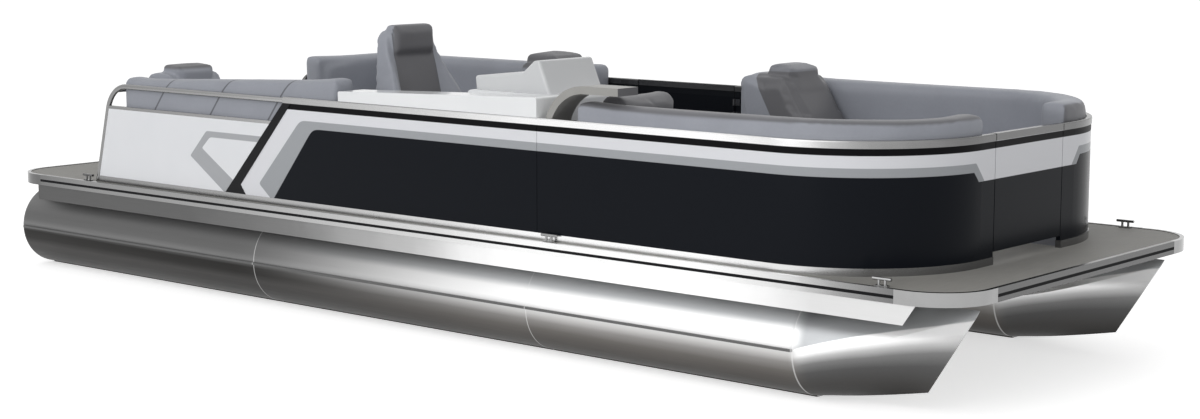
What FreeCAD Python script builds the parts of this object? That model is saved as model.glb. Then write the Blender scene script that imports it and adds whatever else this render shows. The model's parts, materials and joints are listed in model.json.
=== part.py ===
import FreeCAD, Part
import math
import os
import Sketcher

# A 7.5 m pontoon boat: two welded tubes with raked noses, a decked frame, a panelled
# fence with three gates, lounges with hinged seats, a helm console and a swivel chair.
# +X is the bow, +Y is port, +Z is up. The origin is on the centreline at mid length,
# at the level of the keels. Lengths along the boat are stations from the stern edge.

doc = FreeCAD.newDocument("PontoonBoat")
sheet = doc.addObject("Spreadsheet::Sheet", "Sizes")
sheet_rows = []


# Named sizes and the sums made from them
class Size:
    """A length in mm with the sheet expression that gives it."""

    def __init__(self, value, text):
        self.value = value
        self.text = text

    def __add__(self, other):
        other = as_size(other)
        return Size(self.value + other.value, f"({self.text} + {other.text})")

    def __sub__(self, other):
        other = as_size(other)
        return Size(self.value - other.value, f"({self.text} - {other.text})")

    def __mul__(self, other):
        other = as_size(other)
        return Size(self.value * other.value, f"({self.text} * {other.text})")

    def __truediv__(self, other):
        other = as_size(other)
        return Size(self.value / other.value, f"({self.text} / {other.text})")

    def __radd__(self, other):
        return as_size(other) + self

    def __rsub__(self, other):
        return as_size(other) - self

    def __rmul__(self, other):
        return as_size(other) * self

    def __neg__(self):
        return Size(-self.value, f"(0 - {self.text})")


def as_size(number):
    return number if isinstance(number, Size) else Size(float(number), repr(float(number)))


def size(alias, value, note):
    row = len(sheet_rows) + 1
    sheet_rows.append(alias)
    sheet.set(f"A{row}", note)
    sheet.set(f"B{row}", str(value))
    sheet.setAlias(f"B{row}", alias)
    return Size(float(value), f"Sizes.{alias}")


# Deck and frame
deck_length = size("deck_length", 7510, "deck length over the rim")
beam = size("beam", 2590, "beam over the rim")
deck_thick = size("deck_thick", 22, "deck board with its covering")
deck_corner = size("deck_corner", 300, "corner radius of the deck in plan")
rim_height = size("rim_height", 70, "height of the rim extrusion")
rim_thick = size("rim_thick", 24, "thickness of the rim extrusion")
rim_lip = size("rim_lip", 4, "rim lip above the deck covering")
insert_height = size("insert_height", 16, "height of the black rub insert")
insert_depth = size("insert_depth", 8, "depth of the groove for the rub insert")
insert_drop = size("insert_drop", 34, "insert centre below the deck top")
casting_run = size("casting_run", 55, "straight tail of each corner casting")
notch_length = size("notch_length", 330, "length of the motor notch in the stern")
notch_width = size("notch_width", 760, "width of the motor notch")
channel_height = size("channel_height", 56, "height of the cross channels")
channel_width = size("channel_width", 62, "width of the cross channels")
channel_wall = size("channel_wall", 5, "wall of the cross channels")
channel_aft = size("channel_aft", 380, "first cross channel from the stern edge")
channel_bow = size("channel_bow", 318, "last cross channel from the bow edge")
channel_count = 16
skirt_drop = size("skirt_drop", 102, "height of the side skirt under the rim")
skirt_thick = size("skirt_thick", 3, "thickness of the side skirt")
skirt_inset = size("skirt_inset", 20, "skirt face inside the rim face")
skirt_bow = size("skirt_bow", 245, "skirt's upper front corner from the bow edge")
skirt_slant = size("skirt_slant", 70, "slant of the skirt's front end")

# Pontoons
tube_diameter = size("tube_diameter", 537, "pontoon diameter")
tube_inset = size("tube_inset", 315, "pontoon centre inside the rim face")
tube_aft = size("tube_aft", 40, "pontoon's aft face from the stern edge")
cap_round = size("cap_round", 40, "rounding of the aft cap's edge")
nose_length = size("nose_length", 964, "weld between tube and nose from the bow edge")
forefoot_back = size("forefoot_back", 345, "forefoot from the bow edge")
forefoot_height = size("forefoot_height", 108, "forefoot above the keels")
tip_back = size("tip_back", 70, "stem's upper tip from the bow edge")
tip_rise = size("tip_rise", 2, "stem's upper tip above the tube's top")
crease_drop = size("crease_drop", 34, "side crease below the tip at the stem")
stem_width = size("stem_width", 16, "width of the stem's rounded edge")
keel_height = size("keel_height", 6, "keel strip below the tube")
keel_width = size("keel_width", 72, "width of the keel strip")
weld_root = size("weld_root", 12, "how far a welded strip reaches into the tube")
strake_height = size("strake_height", 14, "height of the side strake")
strake_depth = size("strake_depth", 10, "strake out from the tube")
riser_width = size("riser_width", 160, "width of the deck riser on the tube")
riser_wall = size("riser_wall", 5, "wall of the deck riser")
riser_rise = size("riser_rise", 34, "top of the deck riser above the tube")

# Motor pod
transom_thick = size("transom_thick", 45, "thickness of the transom plate")
transom_width = size("transom_width", 680, "width of the transom plate")
transom_foot = size("transom_foot", 140, "lower edge of the transom plate above the keels")
transom_drop = size("transom_drop", 5, "transom's top below the deck top")
transom_corner = size("transom_corner", 60, "lower corners of the transom plate")
transom_round = size("transom_round", 20, "upper corners of the transom plate")
transom_gap = size("transom_gap", 1, "transom clear of the deck board")
pod_width = size("pod_width", 560, "width of the motor pod")
pod_foot = size("pod_foot", 190, "lower face of the motor pod above the keels")
pod_length = size("pod_length", 1350, "length of the motor pod")
pod_flat = size("pod_flat", 470, "level run of the motor pod's lower face")
pod_lip = size("pod_lip", 40, "height of the motor pod's front end")
bolt_hole = size("bolt_hole", 13.5, "outboard bolt hole")
upper_bolts = size("upper_bolts", 327, "spacing of the upper outboard bolts")
lower_bolts = size("lower_bolts", 250.8, "spacing of the lower outboard bolts")
bolt_rows = size("bolt_rows", 203.2, "distance between the bolt rows")
bolt_drop = size("bolt_drop", 55, "upper bolts below the transom's top")

# Fence
fence_inset = size("fence_inset", 65, "outer face of the side fence inside the rim face")
fence_thick = size("fence_thick", 25, "thickness of the fence panels")
stern_set = size("stern_set", 221, "aft face of the stern panels in front of the aft rail's foot")
fence_bow = size("fence_bow", 370, "fence's front face from the bow edge")
fence_radius = size("fence_radius", 750, "bow corner radius of the fence")
foot_rail = size("foot_rail", 40, "height of the bottom rail")
fence_height = size("fence_height", 627, "top of the fence panels above the deck")
top_rail = size("top_rail", 38, "height of the top rail")
rail_overhang = size("rail_overhang", 4, "rails proud of the panels on each side")
rail_round = size("rail_round", 8, "rounded upper edges of the top rail")
panel_seam = size("panel_seam", 1105, "starboard panel joint from mid length")
seam_gap = size("seam_gap", 3, "gap at the panel joint")
quarter_drop = size("quarter_drop", 136, "low aft panels below the fence panels' top")
quarter_bar = size("quarter_bar", 20, "height of the bar on the low aft panels")
slash_top_aft = size("slash_top_aft", -956, "slanted post's aft top corner from mid length")
slash_top_fore = size("slash_top_fore", -885, "slanted post's fore top corner from mid length")
slash_foot_aft = size("slash_foot_aft", -1510, "slanted post's aft foot from mid length")
slash_foot_fore = size("slash_foot_fore", -1320, "slanted post's fore foot from mid length")
slash_waist = size("slash_waist", -1365, "slanted post's waist from mid length")
slash_waist_rise = size("slash_waist_rise", 98, "slanted post's waist above the deck")
tube_rail = size("tube_rail", 34, "diameter of the aft rail tube")
rail_seat = size("rail_seat", 15, "aft rail's centre above the fence panels' top")
rail_foot = size("rail_foot", 904, "foot of the aft rail from the stern edge")
rail_lean = size("rail_lean", 15, "forward lean of the aft rail's foot in degrees")
tube_rail_bend = size("tube_rail_bend", 200, "bend radius of the aft rail")
leg_bend = size("leg_bend", 90, "bend radius of the stern rails")
cross_drop = size("cross_drop", 24, "stern rail below the side rail")
leg_inset = size("leg_inset", 26, "stern rail's leg from the gate opening")
wing_gap = size("wing_gap", 1, "low aft panel clear of the leaning rail")

# Gates
bow_gate_width = size("bow_gate_width", 704, "opening of the bow gate")
stern_gate_width = size("stern_gate_width", 704, "opening of the stern gate")
side_gate_aft = size("side_gate_aft", -185, "side gate's aft edge from mid length")
side_gate_width = size("side_gate_width", 800, "opening of the side gate")
gate_gap = size("gate_gap", 6, "gap round a closed gate")
gate_lift = size("gate_lift", 25, "gate's lower edge above the bottom rail's top")
hinge_pin = size("hinge_pin", 8, "diameter of the gate hinge pins")
hinge_bore = size("hinge_bore", 8.6, "bore of the gate hinge knuckles")
hinge_barrel = size("hinge_barrel", 16, "outer diameter of the hinge knuckles")
hinge_length = size("hinge_length", 40, "length of each gate knuckle")
hinge_gap = size("hinge_gap", 1, "gap between knuckles")
hinge_leaf = size("hinge_leaf", 4, "thickness of the hinge leaves")
hinge_width = size("hinge_width", 46, "width of the hinge leaves from the pin")
hinge_end = size("hinge_end", 90, "hinge from the gate's upper and lower edges")

# Lounges
lounge_gap = size("lounge_gap", 5, "lounge clear of the fence")
base_height = size("base_height", 310, "height of the lounge bases")
base_wall = size("base_wall", 20, "wall of the lounge bases")
base_front = size("base_front", 590, "front of the lounges from the centreline")
base_round = size("base_round", 60, "rounded inner corners of the lounge bases")
toe_height = size("toe_height", 70, "height of the toe recess under the bases")
toe_depth = size("toe_depth", 45, "depth of the toe recess")
seat_thick = size("seat_thick", 120, "thickness of the seat cushions")
seat_lip = size("seat_lip", 12, "seat cushion in front of its base")
seat_round = size("seat_round", 26, "rounded edges of the seat cushions")
back_thick = size("back_thick", 165, "thickness of the back cushions")
back_round = size("back_round", 45, "rounded edges of the back cushions")
soft_gap = size("soft_gap", 0.3, "cushion clear of what carries it")
cushion_gap = size("cushion_gap", 6, "gap between neighbouring cushions")
bow_back_height = size("bow_back_height", 773, "top of the bow back cushions above the deck")
aft_back_height = size("aft_back_height", 770, "top of the port aft back above the deck")
side_back_low = size("side_back_low", 705, "starboard side back's aft top above the deck")
side_back_high = size("side_back_high", 800, "starboard side back's front top above the deck")
stern_back_height = size("stern_back_height", 788, "top of the starboard stern back above the deck")
bow_end = size("bow_end", 400, "bow lounge ends from the centreline")
bow_depth = size("bow_depth", 540, "depth of the bow lounge across the bow")
bow_lid_back = size("bow_lid_back", 810, "front edge of the bow seat lids behind the fence's front")
console_gap = size("console_gap", 10, "starboard bow base in front of the console")
arch_run = size("arch_run", 230, "starboard bow back in front of its base's aft end")
port_bow_aft = size("port_bow_aft", 1075, "port bow lounge's aft end from mid length")
chaise_depth = size("chaise_depth", 250, "depth of the starboard bow chaise back")
bow_chaise_depth = size("bow_chaise_depth", 560, "depth of the port bow chaise back")
aft_chaise_depth = size("aft_chaise_depth", 330, "depth of the aft chaise backs")
chaise_height = size("chaise_height", 800, "top of the chaise backs above the deck")
chaise_taper = size("chaise_taper", 40, "chaise front leaning back at the top")
chaise_lean = size("chaise_lean", 30, "chaise rear leaning forward at the top")
chaise_round = size("chaise_round", 80, "rounded top of the chaise backs")
headrest_rise = size("headrest_rise", 58, "headrest above its chaise back")
headrest_run = size("headrest_run", 180, "starboard headrest behind its chaise's top front")
port_headrest_run = size("port_headrest_run", 260, "port headrests behind their chaise's top front")
headrest_drop = size("headrest_drop", 120, "headrest's lower edge below the chaise's top")
headrest_proud = size("headrest_proud", 20, "headrest in front of the chaise's top")
headrest_side = size("headrest_side", 55, "headrest from each side of its chaise")
headrest_round = size("headrest_round", 40, "rounded edges of the headrests")
aft_seat_front = size("aft_seat_front", -735, "starboard aft lounge's front end from mid length")
side_back_front = size("side_back_front", -505, "starboard side back's front end from mid length")
port_aft_front = size("port_aft_front", -415, "port aft lounge's front end from mid length")
stern_leg_depth = size("stern_leg_depth", 540, "depth of the stern seats")
stern_leg_end = size("stern_leg_end", 370, "inner ends of the stern seats from the centreline")
corner_round = size("corner_round", 110, "outer stern corner of the aft backs")

# Helm
ledge_aft = size("ledge_aft", -465, "aft end of the helm side ledge from mid length")
ledge_width = size("ledge_width", 189, "width of the helm side ledge")
ledge_rise_aft = size("ledge_rise_aft", 58, "ledge above the top rail at its aft end")
ledge_rise_fore = size("ledge_rise_fore", 110, "ledge above the top rail at its front end")
ledge_round = size("ledge_round", 12, "rounded edges of the ledge")
console_width = size("console_width", 555, "width of the console")
console_foot = size("console_foot", 430, "console's aft foot from mid length")
console_knee = size("console_knee", 390, "console's aft knee from mid length")
knee_height = size("knee_height", 525, "console's aft knee above the deck")
console_slope = size("console_slope", 20, "console top's aft edge in front of the knee")
console_drop = size("console_drop", 5, "console top below the ledge's top")
console_round = size("console_round", 30, "rounded upper edges of the console")
console_toe = size("console_toe", 90, "depth of the console's toe recess")
console_toe_height = size("console_toe_height", 120, "height of the console's toe recess")
pod_outer_gap = size("pod_outer_gap", 60, "instrument pod from the ledge")
pod_inner_gap = size("pod_inner_gap", 40, "instrument pod from the console's inner face")
pod_aft_gap = size("pod_aft_gap", 25, "instrument pod's foot in front of the knee")
pod_overhang = size("pod_overhang", 10, "instrument pod's aft edge behind its foot")
pod_low = size("pod_low", 75, "height of the pod's low step")
pod_step = size("pod_step", 112, "height at the foot of the hood")
pod_step_run = size("pod_step_run", 385, "foot of the hood in front of the knee")
hood_height = size("hood_height", 177, "height of the hood's aft edge")
hood_run = size("hood_run", 465, "hood's aft edge in front of the knee")
hood_peak = size("hood_peak", 183, "height of the hood's front edge")
hood_peak_run = size("hood_peak_run", 510, "hood's front edge in front of the knee")
pod_run = size("pod_run", 590, "pod's front foot in front of the knee")
pod_round = size("pod_round", 18, "rounded edges of the instrument pod")
arch_aft_gap = size("arch_aft_gap", 10, "arch in front of its base's aft end")
arch_length = size("arch_length", 525, "length of the arch")
arch_thick = size("arch_thick", 42, "thickness of the arch")
arch_rise = size("arch_rise", 48, "arch above the chaise's top")
arch_round = size("arch_round", 280, "outer corner of the arch")

# Steering
wheel_tilt = size("wheel_tilt", 25, "steering column above level in degrees")
wheel_diameter = size("wheel_diameter", 350, "steering wheel diameter")
wheel_station = size("wheel_station", 285, "steering wheel's centre from mid length")
wheel_rise = size("wheel_rise", 120, "steering wheel's centre above the console's knee")
wheel_rim = size("wheel_rim", 30, "diameter of the steering wheel's rim")
hub_diameter = size("hub_diameter", 76, "steering wheel hub")
hub_depth = size("hub_depth", 36, "depth of the steering wheel hub")
hub_back = size("hub_back", 8, "hub behind the rim's plane")
spoke_width = size("spoke_width", 26, "width of the spokes")
spoke_thick = size("spoke_thick", 10, "thickness of the spokes")
spoke_count = 3
shaft_diameter = size("shaft_diameter", 20, "steering shaft")
shaft_gap = size("shaft_gap", 1, "steering shaft clear of its bore")
shaft_length = size("shaft_length", 150, "steering shaft from the rim's plane")
column_diameter = size("column_diameter", 84, "steering column boss")
column_start = size("column_start", 70, "boss in front of the rim's plane")
column_length = size("column_length", 130, "length of the boss")
bore_start = size("bore_start", 60, "bore in front of the rim's plane")

# Helm chair
chair_station = size("chair_station", -245, "swivel axis from mid length")
chair_reach = size("chair_reach", 445, "swivel axis from the ledge")
pedestal_height = size("pedestal_height", 330, "height of the chair pedestal")
pedestal_diameter = size("pedestal_diameter", 84, "pedestal post")
plate_diameter = size("plate_diameter", 340, "pedestal foot plate")
plate_thick = size("plate_thick", 14, "thickness of the foot plate")
spindle_diameter = size("spindle_diameter", 60, "chair spindle")
spindle_gap = size("spindle_gap", 0.5, "spindle clear of the pedestal's bore")
spindle_depth = size("spindle_depth", 120, "spindle inside the pedestal")
bore_depth = size("bore_depth", 140, "depth of the pedestal's bore")
swivel_gap = size("swivel_gap", 5, "chair shell above the pedestal")
shell_thick = size("shell_thick", 36, "thickness of the seat shell")
shell_aft = size("shell_aft", 270, "seat shell behind the axis")
shell_fore = size("shell_fore", 210, "seat shell in front of the axis")
shell_width = size("shell_width", 460, "width of the seat shell")
shell_round = size("shell_round", 60, "corners of the seat shell")
spine_width = size("spine_width", 340, "width of the back shell")
spine_thick = size("spine_thick", 22, "thickness of the back shell's top")
spine_gap = size("spine_gap", 2, "back shell clear of the back cushion")
spine_drop = size("spine_drop", 240, "back shell's top below the chair's top")
chair_height = size("chair_height", 1110, "top of the chair above the deck")
chair_seat_thick = size("chair_seat_thick", 110, "thickness of the chair seat")
chair_seat_aft = size("chair_seat_aft", 178, "seat cushion behind the axis")
chair_seat_fore = size("chair_seat_fore", 270, "seat cushion in front of the axis")
chair_seat_width = size("chair_seat_width", 500, "width of the seat cushion")
chair_seat_corner = size("chair_seat_corner", 70, "corners of the seat cushion")
chair_seat_round = size("chair_seat_round", 30, "rounded upper edges of the seat cushion")
chair_back_foot = size("chair_back_foot", 250, "back cushion's rear foot behind the axis")
chair_back_rake = size("chair_back_rake", 113, "rake of the back cushion over its height")
chair_back_thick = size("chair_back_thick", 92, "thickness of the back cushion")
chair_lumbar = size("chair_lumbar", 95, "lumbar swell in front of the back cushion's foot")
lumbar_height = size("lumbar_height", 220, "lumbar swell above the seat shell")
lumbar_round = size("lumbar_round", 120, "rounding of the lumbar swell")
bolster_width = size("bolster_width", 580, "width over the side bolsters")
bolster_height = size("bolster_height", 260, "widest place above the seat shell")
bolster_round = size("bolster_round", 200, "rounding of the side bolsters")
shoulder_width = size("shoulder_width", 400, "width of the back cushion at its top")
shoulder_round = size("shoulder_round", 110, "rounded shoulders of the back cushion")
shoulder_drop = size("shoulder_drop", 30, "back cushion's top below the head pillow's")
pillow_width = size("pillow_width", 356, "width of the head pillow")
pillow_drop = size("pillow_drop", 200, "head pillow's foot below its top")
pillow_aft = size("pillow_aft", 330, "head pillow's rear behind the axis")
pillow_fore = size("pillow_fore", 205, "head pillow's front behind the axis")
pillow_round = size("pillow_round", 40, "rounded edges of the head pillow")

# Fittings and ladder
cleat_aft = size("cleat_aft", 840, "stern cleats from the stern edge")
cleat_middle = size("cleat_middle", 1210, "middle cleats from mid length")
cleat_bow = size("cleat_bow", 445, "bow cleats from the bow edge")
cleat_gap = size("cleat_gap", 24, "cleats from the fence's face")
cleat_length = size("cleat_length", 104, "length over a cleat's horns")
cleat_height = size("cleat_height", 38, "height of the horns' centre")
horn_diameter = size("horn_diameter", 16, "diameter of the horns")
cleat_post = size("cleat_post", 14, "diameter of the cleat's two posts")
post_spacing = size("post_spacing", 36, "distance between the cleat's posts")
cleat_base_length = size("cleat_base_length", 70, "length of the cleat's foot")
cleat_base_width = size("cleat_base_width", 26, "width of the cleat's foot")
cleat_base_thick = size("cleat_base_thick", 8, "thickness of the cleat's foot")
ladder_inset = size("ladder_inset", 395, "ladder's middle inside the port rim face")
ladder_width = size("ladder_width", 320, "width between the ladder's side tubes")
ladder_length = size("ladder_length", 520, "length of the stowed ladder")
ladder_tube = size("ladder_tube", 28, "diameter of the ladder's side tubes")
ladder_pin = size("ladder_pin", 12, "diameter of the ladder's hinge pin")
ladder_pin_gap = size("ladder_pin_gap", 0.4, "hinge pin clear of its tube")
ladder_lift = size("ladder_lift", 7, "stowed ladder clear of the rim's lip")
ladder_axis = size("ladder_axis", 22, "ladder's hinge aft of the stern rim")
ladder_ear = size("ladder_ear", 18, "ladder cheeks beyond the hinge")
cheek_thick = size("cheek_thick", 6, "thickness of the ladder cheeks")
cheek_gap = size("cheek_gap", 2, "ladder cheeks clear of the hinge tube")
tread_depth = size("tread_depth", 60, "depth of the ladder's treads")
tread_thick = size("tread_thick", 18, "thickness of the ladder's treads")
tread_pitch = size("tread_pitch", 110, "spacing of the ladder's treads")
tread_count = 3


# Places worked out from the sizes
overall_aft = ladder_axis + ladder_ear
mid_length = (deck_length - overall_aft) / 2


def at(station):
    """A place measured forwards from the stern edge."""
    return station - mid_length


def bow(inset):
    """A place measured aft from the bow edge."""
    return at(deck_length - inset)


def sine(degrees):
    return Size(math.sin(math.radians(degrees.value)), f"sin({degrees.text} * 1 deg)")


def cosine(degrees):
    return Size(math.cos(math.radians(degrees.value)), f"cos({degrees.text} * 1 deg)")


half_beam = beam / 2
tube_offset = half_beam - tube_inset
tube_radius = tube_diameter / 2
tube_height = keel_height + tube_radius
channel_under = keel_height + tube_diameter + riser_rise
deck_under = channel_under + channel_height
deck_top = deck_under + deck_thick
rim_top = deck_top + rim_lip
rim_under = rim_top - rim_height
nose_start = bow(nose_length)
transom_top = deck_top - transom_drop
fence_face = half_beam - fence_inset
fence_inner = fence_face - fence_thick
fence_line = fence_face - fence_thick / 2
fence_front = bow(fence_bow)
fence_aft = rail_foot + stern_set
foot_top = deck_top + foot_rail
panel_top = deck_top + fence_height
rail_top = panel_top + top_rail
quarter_top = panel_top - quarter_drop
bar_top = quarter_top + quarter_bar
rail_height = panel_top + rail_seat
rail_radius = tube_rail / 2
bow_gate_half = bow_gate_width / 2
stern_gate_half = stern_gate_width / 2
side_gate_fore = side_gate_aft + side_gate_width
base_top = deck_top + base_height
lounge_outer = fence_inner - lounge_gap
starboard_base_aft = panel_seam + console_gap
starboard_bow_aft = starboard_base_aft + arch_run
back_inner = lounge_outer - back_thick
seat_outer = back_inner - cushion_gap
soft_foot = base_top + soft_gap
seat_top = soft_foot + seat_thick
bow_back_top = deck_top + bow_back_height
aft_back_top = deck_top + aft_back_height
chaise_top = deck_top + chaise_height
bow_lounge_front = fence_front - fence_thick - lounge_gap
bow_lid_front = fence_front - bow_lid_back
lounge_start = at(fence_aft) + fence_thick + rail_overhang + lounge_gap
stern_leg = lounge_start + stern_leg_depth
ledge_inner = fence_face + rail_overhang - ledge_width
ledge_top_fore = rail_top + ledge_rise_fore
console_inner = ledge_inner - console_width
console_top = ledge_top_fore - console_drop
knee_top = deck_top + knee_height
wheel_height = knee_top + wheel_rise
chair_offset = ledge_inner - chair_reach
chair_top = deck_top + chair_height


# Document helpers
def bind(thing, name, value):
    """Set a property and bind it to the sheet."""
    value = as_size(value)
    if "." not in name:
        setattr(thing, name, value.value)
    thing.setExpression(name, value.text)


def put(thing, x, y, z):
    for axis, value in zip("xyz", (x, y, z)):
        thing.setExpression(f"Placement.Base.{axis}", as_size(value).text)


def new(kind, label):
    thing = doc.addObject(kind, label)
    thing.Label = label
    return thing


def box(label, x0, x1, y0, y1, z0, z1):
    block = new("Part::Box", label)
    bind(block, "Length", as_size(x1) - x0)
    bind(block, "Width", as_size(y1) - y0)
    bind(block, "Height", as_size(z1) - z0)
    put(block, x0, y0, z0)
    return block


turn_to_x = FreeCAD.Rotation(FreeCAD.Vector(0, 1, 0), 90)
turn_to_y = FreeCAD.Rotation(FreeCAD.Vector(1, 0, 0), -90)


def cylinder(label, radius, length, x, y, z, turn=FreeCAD.Rotation()):
    rod = new("Part::Cylinder", label)
    bind(rod, "Radius", radius)
    bind(rod, "Height", length)
    rod.Placement = FreeCAD.Placement(FreeCAD.Vector(), turn)
    put(rod, x, y, z)
    return rod


def aim(thing, axis, angle):
    """Turn a piece about an axis by degrees from the sheet."""
    angle = as_size(angle)
    thing.Placement = FreeCAD.Placement(FreeCAD.Vector(), FreeCAD.Rotation(axis, angle.value))
    thing.setExpression("Placement.Rotation.Angle", f"{angle.text} * 1 deg")


def cut(label, base, *tools):
    tool = tools[0] if len(tools) == 1 else fuse(label + "_tools", *tools)
    result = new("Part::Cut", label)
    result.Base = base
    result.Tool = tool
    return result


def fuse(label, *shapes):
    result = new("Part::MultiFuse", label)
    result.Shapes = list(shapes)
    return result


def group(label, *shapes):
    """Like pieces that don't touch, kept as separate solids of one node."""
    result = new("Part::Compound", label)
    result.Links = list(shapes)
    return result


def mirror(label, source):
    """The port twin of a starboard piece."""
    twin = new("Part::Mirroring", label)
    twin.Source = source
    twin.Normal = (0, 1, 0)
    return twin


# Sketched bodies
def corner_points(before, corner, after, radius):
    """Where an arc of this radius leaves and meets the two sides of a corner."""
    back = (before - corner).normalize()
    ahead = (after - corner).normalize()
    half = back.getAngle(ahead) / 2
    run = radius / math.tan(half)
    middle = (back + ahead).normalize()
    centre = corner + middle * (radius / math.sin(half))
    return corner + back * run, corner + ahead * run, centre


def hold_point(sketch, geometry, point, corner):
    """Tie a point of the sketch to the sheet."""
    for kind, value in (("DistanceX", corner[0]), ("DistanceY", corner[1])):
        value = as_size(value)
        index = sketch.addConstraint(Sketcher.Constraint(kind, -1, 1, geometry, point, value.value))
        sketch.setExpression(f"Constraints[{index}]", value.text)


def add_loop(sketch, corners):
    """Draw a closed outline. A corner is (u, v), or (u, v, radius) where it is rounded."""
    count = len(corners)
    places = [FreeCAD.Vector(as_size(c[0]).value, as_size(c[1]).value, 0) for c in corners]
    leaves = list(places)
    meets = list(places)
    centres = [None] * count
    for i, corner in enumerate(corners):
        if len(corner) == 3:
            radius = as_size(corner[2]).value
            meets[i], leaves[i], centres[i] = corner_points(
                places[i - 1], places[i], places[(i + 1) % count], radius)
    lines = []
    for i in range(count):
        line = Part.LineSegment(leaves[i], meets[(i + 1) % count])
        lines.append(sketch.addGeometry(line, False))
    for i, corner in enumerate(corners):
        if centres[i] is None:
            sketch.addConstraint(Sketcher.Constraint("Coincident", lines[i - 1], 2, lines[i], 1))
            hold_point(sketch, lines[i], 1, corner)
            continue
        first = math.atan2(meets[i].y - centres[i].y, meets[i].x - centres[i].x)
        last = math.atan2(leaves[i].y - centres[i].y, leaves[i].x - centres[i].x)
        forward = math.sin(last - first) > 0
        start, end = (first, last) if forward else (last, first)
        if end < start:
            end += 2 * math.pi
        radius = as_size(corner[2])
        circle = Part.Circle(centres[i], FreeCAD.Vector(0, 0, 1), radius.value)
        arc = sketch.addGeometry(Part.ArcOfCircle(circle, start, end), False)
        near, far = (1, 2) if forward else (2, 1)
        mark = sketch.addGeometry(Part.Point(places[i]), True)
        sketch.addConstraint([
            Sketcher.Constraint("Tangent", lines[i - 1], 2, arc, near),
            Sketcher.Constraint("Tangent", arc, far, lines[i], 1),
            Sketcher.Constraint("PointOnObject", mark, 1, lines[i - 1]),
            Sketcher.Constraint("PointOnObject", mark, 1, lines[i])])
        index = sketch.addConstraint(Sketcher.Constraint("Radius", arc, radius.value))
        sketch.setExpression(f"Constraints[{index}]", radius.text)
        hold_point(sketch, mark, 1, corner)


def plane_of(body, role):
    return [part for part in body.Origin.OriginFeatures if part.Role == role + "_Plane"][0]


def outline(body, name, role, start, *loops):
    """A sketch on one of the body's own planes, moved along that plane's normal."""
    sketch = body.newObject("Sketcher::SketchObject", name)
    sketch.AttachmentSupport = (plane_of(body, role), [""])
    sketch.MapMode = "FlatFace"
    offset = -as_size(start) if role == "XZ" else as_size(start)
    bind(sketch, "AttachmentOffset.Base.z", offset)
    for loop in loops:
        add_loop(sketch, loop)
    return sketch


def pad(label, role, start, length, *loops):
    """A body padded from an outline: upwards from XY, to port from XZ, forwards from YZ."""
    body = new("PartDesign::Body", label)
    sketch = outline(body, label + "_outline", role, start, *loops)
    solid = body.newObject("PartDesign::Pad", label + "_pad")
    solid.Profile = sketch
    solid.Reversed = role == "XZ"
    bind(solid, "Length", length)
    return body


def pocket(body, role, start, depth, *loops):
    """Cut from the plane at start, downwards from XY, to starboard from XZ, aft from YZ."""
    name = f"{body.Label}_pocket{len(body.Group)}"
    sketch = outline(body, name + "_outline", role, start, *loops)
    hole = body.newObject("PartDesign::Pocket", name)
    hole.Profile = sketch
    hole.Reversed = role == "XZ"
    bind(hole, "Length", depth)
    return body


def round_edges(body, radius, wanted=None):
    """Round the edges that the test picks, or all of them."""
    doc.recompute()
    base = body.Tip
    fillet = body.newObject("PartDesign::Fillet", f"{body.Label}_round{len(body.Group)}")
    if wanted is None:
        fillet.Base = (base, ["Edge1"])
        fillet.UseAllEdges = True
    else:
        names = [f"Edge{i + 1}" for i, edge in enumerate(base.Shape.Edges) if wanted(edge)]
        fillet.Base = (base, names)
    bind(fillet, "Radius", radius)
    return body


def upper_edges(height):
    """Edges that lie wholly at this height."""
    level = as_size(height).value
    return lambda edge: edge.BoundBox.ZMin > level - 0.01 and edge.BoundBox.ZMax < level + 0.01


nodes = []


def node(piece):
    nodes.append(piece)
    return piece


def pair(label, piece):
    """A starboard piece and its port twin as one node."""
    return group(label, piece, mirror(label + "_twin", piece))


def rectangle(u0, u1, v0, v1, radius=None):
    corners = [(u0, v0), (u1, v0), (u1, v1), (u0, v1)]
    return [corner + (radius,) for corner in corners] if radius is not None else corners


# Pontoon tubes
def pontoon():
    """A welded tube with a rounded aft cap, a keel strip and a strake on each flank."""
    centre = -tube_offset
    aft = at(tube_aft)
    full = aft + cap_round
    cap_radius = tube_radius - cap_round
    tube = cylinder("tube_core", tube_radius, nose_start - full, full, centre, tube_height, turn_to_x)
    cap = cylinder("cap_face", cap_radius, cap_round * 2, aft, centre, tube_height, turn_to_x)
    edge = new("Part::Torus", "cap_edge")
    bind(edge, "Radius1", cap_radius)
    bind(edge, "Radius2", cap_round)
    edge.Placement = FreeCAD.Placement(FreeCAD.Vector(), turn_to_x)
    put(edge, full, centre, tube_height)
    keel = box("keel_strip", full, nose_start, centre - keel_width / 2, centre + keel_width / 2,
               0, keel_height + weld_root)
    low = tube_height - strake_height / 2
    high = tube_height + strake_height / 2
    near = tube_radius - weld_root
    far = tube_radius + strake_depth
    outer = box("strake_outer", full, nose_start, centre - far, centre - near, low, high)
    inner = box("strake_inner", full, nose_start, centre + near, centre + far, low, high)
    return fuse("pontoon_tube_starboard", tube, cap, edge, keel, outer, inner)


# How the nose's sections change from the round weld to the sharp stem
round_share = 0.707
lower_hollow = 0.15
upper_hollow = 0.18
width_growth = 1.6
keel_growth = 1.25
hollow_growth = 0.7
nose_shares = (0, 0.3, 0.6, 0.85, 1)


def flank_arc(end, flank, share):
    """An arc from the keel or the crown to the crease, hollow towards the stem."""
    middle = FreeCAD.Vector(end.x + (flank.x - end.x) * (1 - share), end.y + (flank.y - end.y) * share,
                            flank.z + (end.z - flank.z) * share)
    return Part.Arc(end, middle, flank).toShape()


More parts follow.
